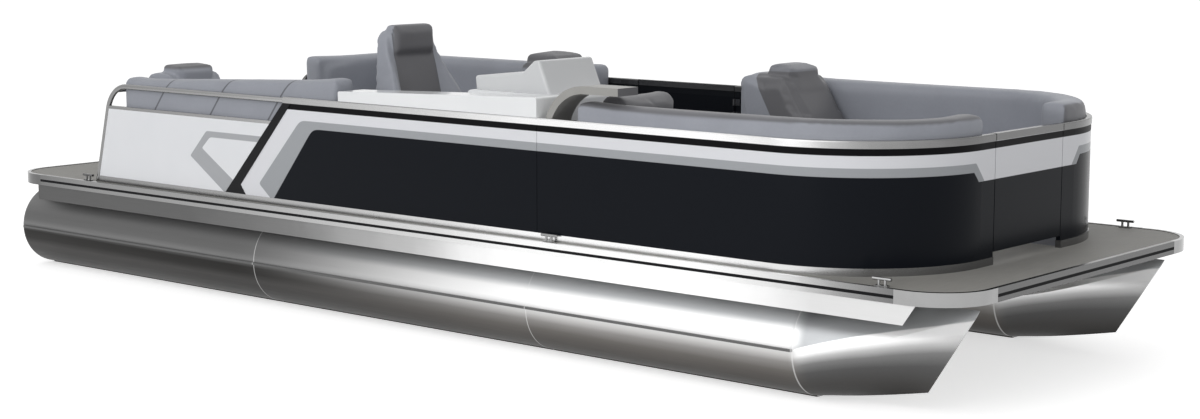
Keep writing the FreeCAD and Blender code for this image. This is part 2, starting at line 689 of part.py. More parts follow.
def nose_section(share):
    """One cross-section of the nose: a full circle at the weld, a narrow lens at the stem."""
    eased = share ** width_growth
    hollow = share ** hollow_growth
    start = nose_start.value
    bottom_x = start + (bow(forefoot_back).value - start) * share
    top_x = start + (bow(tip_back).value - start) * share
    low = keel_height.value + (forefoot_height - keel_height).value * share ** keel_growth
    high = (tube_height + tube_radius).value + tip_rise.value * share
    width = tube_radius.value + (stem_width.value / 2 - tube_radius.value) * eased
    crease = tube_height.value + (high - crease_drop.value - tube_height.value) * eased
    side_x = bottom_x + (top_x - bottom_x) * (crease - low) / (high - low)
    centre = -tube_offset.value
    edges = []
    for side in (-1, 1):
        foot = FreeCAD.Vector(bottom_x, centre, low)
        flank = FreeCAD.Vector(side_x, centre + side * width, crease)
        crown = FreeCAD.Vector(top_x, centre, high)
        edges.append(flank_arc(foot, flank, round_share - lower_hollow * hollow))
        edges.append(flank_arc(crown, flank, round_share - upper_hollow * hollow))
    return Part.Wire(Part.__sortEdges__(edges))


def nose_cone():
    """A raked nose, pressed in halves and welded at the stem, with a crease up to the tip."""
    nose = new("Part::Feature", "nose_cone")
    nose.Shape = Part.makeLoft([nose_section(share) for share in nose_shares], True, False)
    return nose


def deck_riser():
    """The folded channel welded along the tube, which carries the cross channels."""
    centre = -tube_offset
    start = at(channel_aft) - channel_width
    half = riser_width / 2
    inside = half - riser_wall
    outer = box("riser_outer", start, nose_start, centre - half, centre + half, tube_height, channel_under)
    inner = box("riser_inner", start, nose_start, centre - inside, centre + inside, tube_height,
                channel_under - riser_wall)
    seat = cylinder("riser_seat", tube_radius, nose_start - start, start, centre, tube_height, turn_to_x)
    return cut("deck_riser", outer, inner, seat)


tube_starboard = node(pontoon())
node(mirror("pontoon_tube_port", tube_starboard))
node(pair("nose_cones", nose_cone()))
node(pair("deck_risers", deck_riser()))


# Cross channels
def cross_channels():
    """Folded U channels, open side up, from rim to rim."""
    channels = []
    reach = half_beam - rim_thick
    pitch = (deck_length - channel_aft - channel_bow - channel_width) / (channel_count - 1)
    for i in range(channel_count):
        start = at(channel_aft) + pitch * i
        end = start + channel_width
        outer = box(f"channel_outer_{i}", start, end, -reach, reach, channel_under, deck_under)
        inner = box(f"channel_inner_{i}", start + channel_wall, end - channel_wall, -reach, reach,
                    channel_under + channel_wall, deck_under)
        channels.append(cut(f"channel_{i}", outer, inner))
    return group("cross_channels", *channels)


node(cross_channels())


# Deck, rim, castings and skirts
def deck_floor():
    edge = half_beam - rim_thick
    inner_corner = deck_corner - rim_thick
    aft = at(rim_thick)
    fore = bow(rim_thick)
    notch = notch_width / 2
    corners = [
        (aft, -edge, inner_corner), (fore, -edge, inner_corner), (fore, edge, inner_corner),
        (aft, edge, inner_corner), (aft, notch), (at(notch_length), notch), (at(notch_length), -notch),
        (aft, -notch)]
    return pad("deck_floor", "XY", deck_under, deck_thick, corners)


groove = deck_top - insert_drop
groove_low = groove - insert_height / 2
groove_high = groove + insert_height / 2
straight = deck_corner + casting_run
rim_start = at(straight)
rim_end = bow(straight)
rim_reach = half_beam - straight


def rim_section(outer):
    """The rim extrusion across the deck edge, with the groove for its rub insert."""
    inner = outer - rim_thick
    deep = outer - insert_depth
    return [(inner, rim_under), (outer, rim_under), (outer, groove_low), (deep, groove_low),
            (deep, groove_high), (outer, groove_high), (outer, rim_top), (inner, rim_top)]


def rim():
    """Extrusions along the sides, across the bow and on each side of the motor notch."""
    side = rim_section(half_beam)
    length = rim_end - rim_start
    starboard = pad("rim_starboard", "YZ", rim_start, length, [(-u, v) for u, v in side])
    port = pad("rim_port", "YZ", rim_start, length, side)
    front = pad("rim_bow", "XZ", -rim_reach, rim_reach * 2, rim_section(bow(0)))
    stern = [(at(0) - u, v) for u, v in rim_section(as_size(0))]
    notch = notch_width / 2
    stern_starboard = pad("rim_stern_starboard", "XZ", -rim_reach, rim_reach - notch, stern)
    stern_port = pad("rim_stern_port", "XZ", notch, rim_reach - notch, stern)
    return group("rim_extrusions", starboard, port, front, stern_starboard, stern_port)


def rub_inserts():
    """Black strips that lie in the rim's groove."""
    deep = half_beam - insert_depth
    front = bow(0)
    strips = [box("insert_starboard", rim_start, rim_end, -half_beam, -deep, groove_low, groove_high),
              box("insert_port", rim_start, rim_end, deep, half_beam, groove_low, groove_high),
              box("insert_bow", front - insert_depth, front, -rim_reach, rim_reach, groove_low,
                  groove_high)]
    return group("rub_inserts", *strips)


def corner_casting(label, side_x, side_y):
    """A polished quarter ring with two short tails, between the rim extrusions."""
    centre_x = bow(deck_corner) if side_x > 0 else at(deck_corner)
    centre_y = (half_beam - deck_corner) * side_y
    inner = deck_corner - rim_thick
    tail_x = centre_x - casting_run * side_x
    tail_y = centre_y - casting_run * side_y
    far_x = centre_x + deck_corner * side_x
    far_y = centre_y + deck_corner * side_y
    near_x = centre_x + inner * side_x
    near_y = centre_y + inner * side_y
    quarter = [(tail_x, far_y), (far_x, far_y, deck_corner), (far_x, tail_y), (near_x, tail_y),
               (near_x, near_y, inner), (tail_x, near_y)]
    return pad(label, "XY", rim_under, rim_height, quarter)


def corner_castings():
    corners = [("bow_starboard", 1, -1), ("bow_port", 1, 1), ("stern_port", -1, 1),
               ("stern_starboard", -1, -1)]
    return group("corner_castings", *[corner_casting("casting_" + name, x, y) for name, x, y in corners])


def side_skirt():
    """The thin plate under the side rim, cut back at the bow."""
    foot = rim_under - skirt_drop
    front = bow(skirt_bow)
    aft = at(deck_corner)
    plate = [(aft, foot), (front - skirt_slant, foot), (front, rim_under), (aft, rim_under)]
    return pad("side_skirt", "XZ", skirt_inset - half_beam, skirt_thick, plate)


node(deck_floor())
node(rim())
node(rub_inserts())
node(corner_castings())
node(pair("side_skirts", side_skirt()))

# Motor pod and transom
transom_fore = at(notch_length) - transom_gap


def motor_pod():
    level = transom_fore + pod_flat
    front = transom_fore + pod_length
    side = [(transom_fore, pod_foot), (level, pod_foot), (front, channel_under - pod_lip),
            (front, channel_under), (transom_fore, channel_under)]
    return pad("pod_hull", "XZ", -pod_width / 2, pod_width, side)


def transom():
    """The plate that carries the motor, with the usual two rows of bolts."""
    aft = transom_fore - transom_thick
    half = transom_width / 2
    plate = pad("transom_blank", "YZ", aft, transom_thick,
                [(-half, transom_foot, transom_corner), (half, transom_foot, transom_corner),
                 (half, transom_top, transom_round), (-half, transom_top, transom_round)])
    upper = transom_top - bolt_drop
    holes = []
    for row, spacing in ((upper, upper_bolts), (upper - bolt_rows, lower_bolts)):
        for side in (-1, 1):
            holes.append(cylinder(f"bolt_{len(holes)}", bolt_hole / 2, transom_thick,
                                  aft, spacing / 2 * side, row, turn_to_x))
    return cut("transom", plate, *holes)


node(fuse("motor_pod", motor_pod(), transom()))


# Fence panels
def fence_wall(label, outer, thick, start, end_y, low, high):
    """A wall along the side that turns the bow corner and ends beside the bow gate."""
    inner = outer - thick
    front = fence_front - (fence_face - outer)
    radius = fence_radius - (fence_face - outer)
    plan = [(start, -outer), (front, -outer, radius), (front, -end_y), (front - thick, -end_y),
            (front - thick, -inner, radius - thick), (start, -inner)]
    return pad(label, "XY", low, high - low, plan)


def fence_run(label, start):
    return fence_wall(label, fence_face, fence_thick, start, bow_gate_half, foot_top, panel_top)


waist_height = deck_top + slash_waist_rise


def mid_panel(label, end):
    shape = [(slash_foot_fore, foot_top), (end, foot_top), (end, panel_top), (slash_top_fore, panel_top),
             (slash_waist, waist_height)]
    return pad(label, "XZ", -fence_face, fence_thick, shape)


def slanted_post():
    """The black post that leans forwards between the fence and the low aft panel."""
    shape = [(slash_foot_aft, foot_top), (slash_foot_fore, foot_top), (slash_waist, waist_height),
             (slash_top_fore, panel_top), (slash_top_aft, panel_top)]
    return pad("slanted_post", "XZ", -(fence_face + rail_overhang), fence_thick + rail_overhang, shape)


def slash_edge(height):
    """The slanted post's aft edge at a height."""
    rise = (height - foot_top) / (panel_top - foot_top)
    return slash_foot_aft + (slash_top_aft - slash_foot_aft) * rise


lean_slope = sine(rail_lean) / cosine(rail_lean)


def wing_edge(height):
    """The low aft panel's edge at a height, just in front of the leaning rail."""
    return at(rail_foot) + (height - deck_top) * lean_slope + (rail_radius + wing_gap) / cosine(rail_lean)


def quarter_panel():
    shape = [(wing_edge(foot_top), foot_top), (slash_foot_aft, foot_top),
             (slash_edge(quarter_top), quarter_top), (wing_edge(quarter_top), quarter_top)]
    return pad("quarter_panel", "XZ", -fence_face, fence_thick, shape)


def stern_panel():
    aft = at(fence_aft)
    return box("stern_panel", aft, aft + fence_thick, -fence_inner, -stern_gate_half, foot_top,
               quarter_top)


rail_outer = fence_face + rail_overhang
rail_width = fence_thick + rail_overhang * 2


def foot_rails():
    """The bottom rail under every fixed panel."""
    side = fence_wall("foot_rail_side", rail_outer, rail_width, wing_edge(foot_top), bow_gate_half,
                      deck_top, foot_top)
    aft = at(fence_aft) - rail_overhang
    stern = box("foot_rail_stern", aft, aft + rail_width, rail_width - rail_outer, -stern_gate_half,
                deck_top, foot_top)
    return fuse("foot_rail_starboard", side, stern)


def top_rails():
    """The rail along the fence's upper edge, with rounded upper corners."""
    rail = fence_wall("top_rail_starboard", rail_outer, rail_width, slash_top_aft, bow_gate_half,
                      panel_top, rail_top)
    return round_edges(rail, rail_round, upper_edges(rail_top))


node(fence_run("fence_bow_starboard", panel_seam))
node(mid_panel("fence_mid_starboard", panel_seam - seam_gap))
post_starboard = slanted_post()
node(pair("slanted_posts", post_starboard))
node(pair("quarter_panels", quarter_panel()))
node(pair("stern_panels", stern_panel()))
foot_starboard = node(foot_rails())
top_starboard = node(top_rails())
node(mirror("fence_bow_port", fence_run("fence_bow_source", side_gate_fore)))
node(mirror("fence_mid_port", mid_panel("fence_mid_source", side_gate_aft)))
gate_way = box("side_gate_way", side_gate_aft, side_gate_fore, fence_inner - fence_thick,
               fence_face + fence_thick, deck_under, rail_top + top_rail)
node(cut("foot_rail_port", mirror("foot_rail_source", foot_starboard), gate_way))
node(cut("top_rail_port", mirror("top_rail_source", top_starboard), gate_way))


# Aft rails
def bend(label, radius, angle, turn):
    """A bent piece of rail tube about its own centre."""
    piece = new("Part::Torus", label)
    bind(piece, "Radius1", radius)
    bind(piece, "Radius2", rail_radius)
    bind(piece, "Angle3", angle)
    piece.Placement = FreeCAD.Placement(FreeCAD.Vector(), turn)
    return piece


def aft_rail():
    """A tube that leans up from the deck and bends into the side rail, with its bar.

    A second tube crosses the stern and bends down beside the gate.
    """
    across = FreeCAD.Vector(0, 1, 0)
    turn = as_size(90) - rail_lean
    half = turn / 2
    run = tube_rail_bend * sine(half) / cosine(half)
    rise = (rail_height - deck_top) / cosine(rail_lean)
    corner_x = at(rail_foot) + (rail_height - deck_top) * lean_slope
    post = cylinder("rail_post", rail_radius, rise - run + tube_rail,
                    at(rail_foot) - tube_rail * sine(rail_lean), -fence_line,
                    deck_top - tube_rail * cosine(rail_lean))
    aim(post, across, rail_lean)
    upright = FreeCAD.Rotation(FreeCAD.Vector(-1, 0, 0), FreeCAD.Vector(0, 0, 1), across, "ZXY")
    corner = group("rail_corner", bend("rail_bend", tube_rail_bend, turn, upright))
    aim(corner, across, rail_lean)
    put(corner, corner_x + run, -fence_line, rail_height - tube_rail_bend)
    side = cylinder("rail_side", rail_radius, slash_top_aft - corner_x - run, corner_x + run, -fence_line,
                    rail_height, turn_to_x)
    start = wing_edge(quarter_top) - rail_radius
    bar = pad("rail_bar", "XZ", -fence_face, fence_thick,
              [(start, quarter_top), (slash_edge(quarter_top), quarter_top),
               (slash_edge(bar_top), bar_top), (start, bar_top)])
    cross_x = at(fence_aft) + fence_thick / 2
    cross_z = rail_height - cross_drop
    leg_y = stern_gate_half + leg_inset
    cross = cylinder("rail_cross", rail_radius, fence_line - leg_y - leg_bend, cross_x, -fence_line,
                     cross_z, turn_to_y)
    down = FreeCAD.Rotation(FreeCAD.Vector(0, 0, 1), across, FreeCAD.Vector(-1, 0, 0), "ZXY")
    leg_corner = bend("leg_corner", leg_bend, as_size(90), down)
    put(leg_corner, cross_x, -leg_y - leg_bend, cross_z - leg_bend)
    leg = cylinder("rail_leg", rail_radius, cross_z - leg_bend - quarter_top, cross_x, -leg_y, quarter_top)
    tubes = fuse("rail_tubes", post, corner, side, bar, cross, leg_corner, leg)
    floor = box("rail_floor", at(rail_foot) - tube_rail * 2, at(rail_foot) + tube_rail * 2,
                -fence_line - tube_rail, -fence_line + tube_rail, deck_top - tube_rail * 2, deck_top)
    return cut("aft_rail", tubes, floor, post_starboard)


node(pair("aft_rails", aft_rail()))


# Gates
def leaf_plate(label, axis_x, axis_y, along, side, low):
    """A hinge leaf that runs from the pin along a unit step, at the face on its side."""
    lift = (hinge_barrel - hinge_leaf) / 2
    half = hinge_leaf / 2
    spans = []
    for centre, step, lean in ((axis_x, along[0], side[0]), (axis_y, along[1], side[1])):
        middle = centre + lift * lean
        low_end = middle - half if step == 0 else (middle - hinge_width if step < 0 else middle)
        high_end = middle + half if step == 0 else (middle if step < 0 else middle + hinge_width)
        spans += [low_end, high_end]
    return box(label, *spans, low, low + hinge_length)


def gate(label, axis_x, axis_y, along, side, low, high, parts):
    """The hinge of a gate: two knuckles on the gate and their pins on the fence.

    along is the direction from the hinge into the gate, side the direction from the axis
    to the gate's face; both are unit steps in x and y.
    """
    back = (-along[0], -along[1])
    gate_parts = list(parts)
    bores = []
    post_parts = []
    for place, foot in (("low", low + hinge_end), ("high", high - hinge_end - hinge_length)):
        name = f"{label}_{place}"
        gate_parts.append(cylinder(name + "_barrel", hinge_barrel / 2, hinge_length, axis_x, axis_y, foot))
        gate_parts.append(leaf_plate(name + "_leaf", axis_x, axis_y, along, side, foot))
        bores.append(cylinder(name + "_bore", hinge_bore / 2, hinge_length, axis_x, axis_y, foot))
        under = foot - hinge_gap - hinge_length
        over = foot + hinge_length + hinge_gap
        for tag, start in (("under", under), ("over", over)):
            post_parts.append(cylinder(f"{name}_{tag}", hinge_barrel / 2, hinge_length, axis_x, axis_y,
                                       start))
            post_parts.append(leaf_plate(f"{name}_{tag}_leaf", axis_x, axis_y, back, side, start))
        post_parts.append(cylinder(name + "_pin", hinge_pin / 2, over - under, axis_x, axis_y, under))
    solid = fuse(label + "_solid", *gate_parts)
    return cut(label, solid, *bores), fuse(label + "_hinges", *post_parts)


gate_low = foot_top + gate_lift


def bow_gate():
    half = bow_gate_half - gate_gap
    inner = fence_front - fence_thick
    panel = box("bow_gate_panel", inner, fence_front, -half, half, gate_low, panel_top)
    rail = box("bow_gate_rail", inner - rail_overhang, fence_front + rail_overhang, -half, half,
               panel_top, rail_top)
    return gate("bow_gate", inner - hinge_barrel / 2, bow_gate_half - gate_gap / 2, (0, -1), (1, 0),
                gate_low, panel_top, [panel, rail])


def stern_gate():
    half = stern_gate_half - gate_gap
    inner = at(fence_aft) + fence_thick
    panel = box("stern_gate_panel", at(fence_aft), inner, -half, half, gate_low, quarter_top)
    return gate("stern_gate", inner + hinge_barrel / 2, gate_gap / 2 - stern_gate_half, (0, 1), (-1, 0),
                gate_low, quarter_top, [panel])


def side_gate():
    aft = side_gate_aft + gate_gap
    fore = side_gate_fore - gate_gap
    panel = box("side_gate_panel", aft, fore, fence_inner, fence_face, gate_low, panel_top)
    rail = box("side_gate_rail", aft, fore, fence_inner - rail_overhang, fence_face + rail_overhang,
               panel_top, rail_top)
    return gate("side_gate", side_gate_fore - gate_gap / 2, fence_inner - hinge_barrel / 2, (-1, 0),
                (0, 1), gate_low, panel_top, [panel, rail])


hinges = []
for make in (bow_gate, stern_gate, side_gate):
    leaf, hinge = make()
    node(leaf)
    hinges.append(hinge)
node(group("gate_hinges", *hinges))

# Lounges
store_near = base_front + toe_depth + base_wall
store_far = back_inner - base_wall


def lounge_base(label, plan, toe, store, side):
    """A moulded lounge base with a toe recess and an open store under its lid."""
    body = pad(label + "_hull", "XY", deck_top, base_height, plan)
    pocket(body, "XY", base_top, base_height - base_wall,
           rectangle(store[0], store[1], store_near * side, store_far * side))
    near = (base_front - toe_depth) * side
    far = (base_front + toe_depth) * side
    low, high = (near, far) if side > 0 else (far, near)
    recess = box(label + "_toe", toe[0], toe[1], low, high, deck_top, deck_top + toe_height)
    return cut(label, body, recess)


def bow_base(label, aft, lid_aft, side):
    inner_front = bow_lounge_front - bow_depth
    radius = fence_radius - fence_thick - lounge_gap
    outer = lounge_outer * side
    inner = base_front * side
    plan = [(aft, outer), (bow_lounge_front, outer, radius), (bow_lounge_front, bow_end * side),
            (inner_front, bow_end * side, base_round), (inner_front, inner, base_round), (aft, inner)]
    store = (lid_aft + base_wall, bow_lid_front - base_wall)
    return lounge_base(label, plan, (aft - toe_depth, inner_front - base_round), store, side)


def seat_lid(label, aft, front, side):
    """A seat cushion that hinges up at its rear edge."""
    body = pad(label, "XY", soft_foot, seat_thick,
               rectangle(aft, front, seat_outer * side, (base_front - seat_lip) * side))
    return round_edges(body, seat_round, upper_edges(seat_top))


def bow_cushion(label, side):
    """The fixed seat cushion that fills the bow corner."""
    aft = bow_lid_front + cushion_gap
    outer = seat_outer * side
    inner = (base_front - seat_lip) * side
    front = bow_lounge_front - back_thick - cushion_gap
    inner_front = bow_lounge_front - bow_depth - seat_lip
    radius = fence_radius - (fence_face - seat_outer)
    nook = base_round - seat_lip
    plan = [(aft, outer), (front, outer, radius), (front, bow_end * side),
            (inner_front, bow_end * side, base_round), (inner_front, inner, nook), (aft, inner)]
    body = pad(label, "XY", soft_foot, seat_thick, plan)
    return round_edges(body, seat_round, upper_edges(seat_top))


def bow_back(label, start):
    body = fence_wall(label, lounge_outer, back_thick, start, bow_end, soft_foot, bow_back_top)
    return round_edges(body, back_round, upper_edges(bow_back_top))


def chaise_back(label, rear, depth, facing, side, top, headrest):
    """A leaning back across the end of a lounge, facing +1 to the bow or -1 to the stern.

    headrest is how far the headrest runs back from the top's front, or None.
    """
    width = seat_outer - base_front
    start = base_front if side > 0 else -seat_outer
    front = rear + depth * facing
    top_front = rear + (depth - chaise_taper) * facing
    top_rear = rear + chaise_lean * facing
    body = pad(label + "_back" if headrest else label, "XZ", start, width,
               [(rear, soft_foot), (front, soft_foot), (top_front, top, chaise_round),
                (top_rear, top, chaise_round)])
    if not headrest:
        return body
    low = top - headrest_drop
    high = top + headrest_rise
    pillow_rear = top_front - headrest * facing
    pillow = pad(label + "_pillow", "XZ", start + headrest_side, width - headrest_side * 2,
                 [(pillow_rear, low), (top_front + headrest_proud * facing, low),
                  (top_front, high), (pillow_rear, high)])
    round_edges(pillow, headrest_round)
    return fuse(label, body, pillow)


starboard_lid_aft = starboard_bow_aft + chaise_depth + cushion_gap
port_lid_aft = port_bow_aft + bow_chaise_depth + cushion_gap
node(bow_base("lounge_base_bow_starboard", starboard_base_aft, starboard_lid_aft, -1))
node(bow_base("lounge_base_bow_port", port_bow_aft, port_lid_aft, 1))
node(seat_lid("seat_lid_bow_starboard", starboard_lid_aft, bow_lid_front, -1))
node(seat_lid("seat_lid_bow_port", port_lid_aft, bow_lid_front, 1))
node(group("bow_cushions", bow_cushion("bow_cushion_starboard", -1), bow_cushion("bow_cushion_port", 1)))
node(bow_back("bow_back_starboard", starboard_bow_aft))
node(mirror("bow_back_port", bow_back("bow_back_source", port_bow_aft)))
node(chaise_back("chaise_back_bow_starboard", starboard_bow_aft, chaise_depth, 1, -1, chaise_top, None))
node(chaise_back("chaise_back_bow_port", port_bow_aft, bow_chaise_depth, 1, 1, chaise_top,
                 port_headrest_run))

aft_lid_start = lounge_start + aft_chaise_depth + cushion_gap
port_lid_start = stern_leg + seat_lip + cushion_gap
port_lid_end = port_aft_front - aft_chaise_depth - cushion_gap


def aft_starboard_base():
    plan = [(lounge_start, -lounge_outer), (side_back_front, -lounge_outer), (side_back_front, -back_inner),
            (aft_seat_front, -back_inner), (aft_seat_front, -base_front), (lounge_start, -base_front)]
    store = (aft_lid_start + base_wall, aft_seat_front - base_wall)
    toe = (lounge_start - toe_depth, aft_seat_front + toe_depth)
    return lounge_base("lounge_base_aft_starboard", plan, toe, store, -1)


def aft_port_base():
    plan = [(lounge_start, lounge_outer), (port_aft_front, lounge_outer), (port_aft_front, base_front),
            (stern_leg, base_front, base_round), (stern_leg, stern_leg_end, base_round),
            (lounge_start, stern_leg_end)]
    store = (port_lid_start + base_wall, port_lid_end - base_wall)
    toe = (stern_leg + base_round, port_aft_front + toe_depth)
    return lounge_base("lounge_base_aft_port", plan, toe, store, 1)


def aft_back_starboard():
    """The starboard side back, which rises towards the helm."""
    body = pad("aft_back_starboard", "XZ", -lounge_outer, back_thick,
               [(lounge_start, soft_foot), (side_back_front, soft_foot),
                (side_back_front, deck_top + side_back_high), (lounge_start, deck_top + side_back_low)])
    foot = soft_foot.value
    return round_edges(body, back_round, lambda edge: edge.BoundBox.ZMin > foot + 1)


def aft_back_port():
    """The L-shaped back along the side and across the stern."""
    leg_face = lounge_start + back_thick
    plan = [(lounge_start, stern_leg_end), (lounge_start, lounge_outer, corner_round),
            (port_aft_front, lounge_outer), (port_aft_front, back_inner),
            (leg_face, back_inner, base_round), (leg_face, stern_leg_end)]
    body = pad("aft_back_port", "XY", soft_foot, aft_back_top - soft_foot, plan)
    return round_edges(body, back_round, upper_edges(aft_back_top))


def stern_cushion():
    """The fixed seat across the stern, round where the back turns the corner."""
    aft = lounge_start + back_thick + cushion_gap
    front = stern_leg + seat_lip
    inner = stern_leg_end - seat_lip
    plan = [(aft, inner), (aft, seat_outer, base_round - cushion_gap), (front, seat_outer), (front, inner)]
    body = pad("stern_cushion_port", "XY", soft_foot, seat_thick, plan)
    return round_edges(body, seat_round, upper_edges(seat_top))


stern_back_top = deck_top + stern_back_height - headrest_rise
node(aft_starboard_base())
node(aft_port_base())
node(aft_back_starboard())
node(aft_back_port())
node(stern_cushion())
node(seat_lid("seat_lid_aft_starboard", aft_lid_start, aft_seat_front + seat_lip, -1))
node(seat_lid("seat_lid_aft_port", port_lid_start, port_lid_end, 1))
node(chaise_back("chaise_back_aft_starboard", lounge_start, aft_chaise_depth, 1, -1, stern_back_top,
                 headrest_run))
node(chaise_back("chaise_back_aft_port", port_aft_front, aft_chaise_depth, -1, 1, chaise_top,
                 port_headrest_run))

# Helm
across_boat = FreeCAD.Vector(0, 1, 0)
column_angle = as_size(90) + wheel_tilt


def along_column(distance):
    """A point on the steering column, measured forwards from the wheel's centre."""
    return (wheel_station + distance * cosine(wheel_tilt), -chair_offset,
            wheel_height - distance * sine(wheel_tilt))


def column_rod(label, radius, length, start):
    """A cylinder on the steering column's axis."""
    rod = cylinder(label, radius, length, 0, 0, 0)
    aim(rod, across_boat, column_angle)
    put(rod, *along_column(start))
    return rod


def helm_ledge():
    """The white side ledge, which stands inside the fence and caps its rail."""
    cap = [(ledge_aft, rail_top), (panel_seam, rail_top), (panel_seam, ledge_top_fore, ledge_round),
           (ledge_aft, rail_top + ledge_rise_aft, ledge_round)]
    top = pad("ledge_cap", "XZ", -rail_outer, ledge_width, cap)
    body = box("ledge_body", ledge_aft, panel_seam, -lounge_outer, -ledge_inner, deck_top, rail_top)
    return fuse("helm_ledge", top, body)


def helm_console():
    """The console with its toe recess and the boss that carries the steering shaft."""
    toe_top = deck_top + console_toe_height
    toe_x = console_foot + console_toe
    lip = console_foot - (console_foot - console_knee) * console_toe_height / knee_height
    shape = [(toe_x, deck_top), (toe_x, toe_top), (lip, toe_top), (console_knee, knee_top),
             (console_knee + console_slope, console_top, console_round),
             (panel_seam, console_top, console_round), (panel_seam, deck_top)]
    body = pad("console_body", "XZ", -ledge_inner, console_width, shape)
    boss = column_rod("column_boss", column_diameter / 2, column_length, column_start)
    bore = column_rod("column_bore", shaft_diameter / 2 + shaft_gap, column_length, bore_start)
    return cut("helm_console", fuse("console_with_boss", body, boss), bore)


def instrument_pod():
    """The low dash with its raised hood, on the console's top."""
    aft = console_knee + pod_aft_gap
    shape = [(aft, console_top), (aft - pod_overhang, console_top + pod_low),
             (console_knee + pod_step_run, console_top + pod_step),
             (console_knee + hood_run, console_top + hood_height),
             (console_knee + hood_peak_run, console_top + hood_peak),
             (console_knee + pod_run, console_top)]
    start = ledge_inner - pod_outer_gap
    body = pad("instrument_pod", "XZ", -start, start - console_inner - pod_inner_gap, shape)
    foot = console_top.value
    return round_edges(body, pod_round, lambda edge: edge.BoundBox.ZMax > foot + 1)


def console_arch():
    """The curved shell that rises in front of the console and runs over the side back."""
    aft = starboard_base_aft + arch_aft_gap
    fore = aft + arch_length
    inside = aft + arch_thick
    top = chaise_top + arch_rise
    under = top - arch_thick
    shape = [(aft, base_top), (aft, top, arch_round), (fore, top), (fore, under),
             (inside, under, arch_round - arch_thick), (inside, base_top)]
    return pad("console_arch", "XZ", -lounge_outer, back_thick, shape)


def steering_wheel():
    """The wheel lying flat, then set square to its column."""
    middle = (wheel_diameter - wheel_rim) / 2
    rim = new("Part::Torus", "wheel_rim_ring")
    bind(rim, "Radius1", middle)
    bind(rim, "Radius2", wheel_rim / 2)
    hub = cylinder("wheel_hub", hub_diameter / 2, hub_depth, 0, 0, -hub_back)
    shaft = cylinder("wheel_shaft", shaft_diameter / 2, shaft_length, 0, 0, 0)
    spokes = []
    for i in range(spoke_count):
        angle = 360 / spoke_count * i + 90
        spoke = new("Part::Box", f"wheel_spoke_{i}")
        bind(spoke, "Length", spoke_width)
        bind(spoke, "Width", middle)
        bind(spoke, "Height", spoke_thick)
        turn = FreeCAD.Rotation(FreeCAD.Vector(0, 0, 1), angle)
        spoke.Placement = FreeCAD.Placement(FreeCAD.Vector(), turn)
        put(spoke, -spoke_width / 2 * math.cos(math.radians(angle)),
            -spoke_width / 2 * math.sin(math.radians(angle)), -spoke_thick / 2)
        spokes.append(spoke)
    wheel = group("steering_wheel", fuse("wheel_flat", rim, hub, shaft, *spokes))
    aim(wheel, across_boat, column_angle)
    put(wheel, *along_column(as_size(0)))
    return wheel


node(helm_ledge())
node(helm_console())
node(instrument_pod())
node(console_arch())
node(steering_wheel())

# Helm chair
chair_x = chair_station
chair_y = -chair_offset
pedestal_top = deck_top + pedestal_height
shell_foot = pedestal_top + swivel_gap
chair_foot = shell_foot + shell_thick + soft_gap
back_top = chair_top - shoulder_drop
spindle_radius = spindle_diameter / 2


def back_line(height):
    """The back cushion's rear face at a height."""
    return chair_x - chair_back_foot - chair_back_rake * (height - chair_foot) / (back_top - chair_foot)


def chair_pedestal():
    plate = cylinder("pedestal_plate", plate_diameter / 2, plate_thick, chair_x, chair_y, deck_top)
    post = cylinder("pedestal_post", pedestal_diameter / 2, pedestal_height, chair_x, chair_y, deck_top)
    bore = cylinder("pedestal_bore", spindle_radius + spindle_gap, bore_depth, chair_x, chair_y,
                    pedestal_top - bore_depth)
    return cut("chair_pedestal", fuse("pedestal_solid", plate, post), bore)


def chair_frame():
    """The seat shell with its spindle, and the back's shell behind the cushions."""
    spindle = cylinder("chair_spindle", spindle_radius, spindle_depth + swivel_gap + shell_thick / 2,
                       chair_x, chair_y, pedestal_top - spindle_depth)
    half = shell_width / 2
    shell = pad("chair_shell", "XY", shell_foot, shell_thick,
                rectangle(chair_x - shell_aft, chair_x + shell_fore, chair_y - half, chair_y + half,
                          shell_round))
    spine_top = chair_top - spine_drop
    face_top = back_line(spine_top) - spine_gap
    spine = pad("chair_spine", "XZ", chair_y - spine_width / 2, spine_width,
                [(chair_x - shell_aft, shell_foot), (back_line(shell_foot) - spine_gap, shell_foot),
                 (face_top, spine_top), (face_top - spine_thick, spine_top)])
    return fuse("chair_frame", spindle, shell, spine)


def chair_back():
    """The tapered back with its side bolsters and lumbar swell."""
    half = bolster_width / 2
    foot_half = chair_seat_width / 2
    shoulder = shoulder_width / 2
    front = chair_x - chair_back_foot
    slab = pad("chair_back_slab", "XZ", chair_y - half, bolster_width,
               [(front, chair_foot), (front + chair_lumbar / 2, chair_foot),
                (front + chair_lumbar, chair_foot + lumbar_height, lumbar_round),
                (back_line(back_top) + chair_back_thick, back_top, shell_thick),
                (back_line(back_top), back_top, shell_thick)])
    level = chair_foot + bolster_height
    face = pad("chair_back_face", "YZ", front - chair_back_rake - chair_back_thick,
               chair_back_rake + chair_back_thick * 2 + chair_lumbar,
               [(chair_y - foot_half, chair_foot, shell_round),
                (chair_y + foot_half, chair_foot, shell_round),
                (chair_y + half, level, bolster_round), (chair_y + shoulder, back_top, shoulder_round),
                (chair_y - shoulder, back_top, shoulder_round), (chair_y - half, level, bolster_round)])
    back = new("Part::Common", "chair_back")
    back.Base = slab
    back.Tool = face
    return back


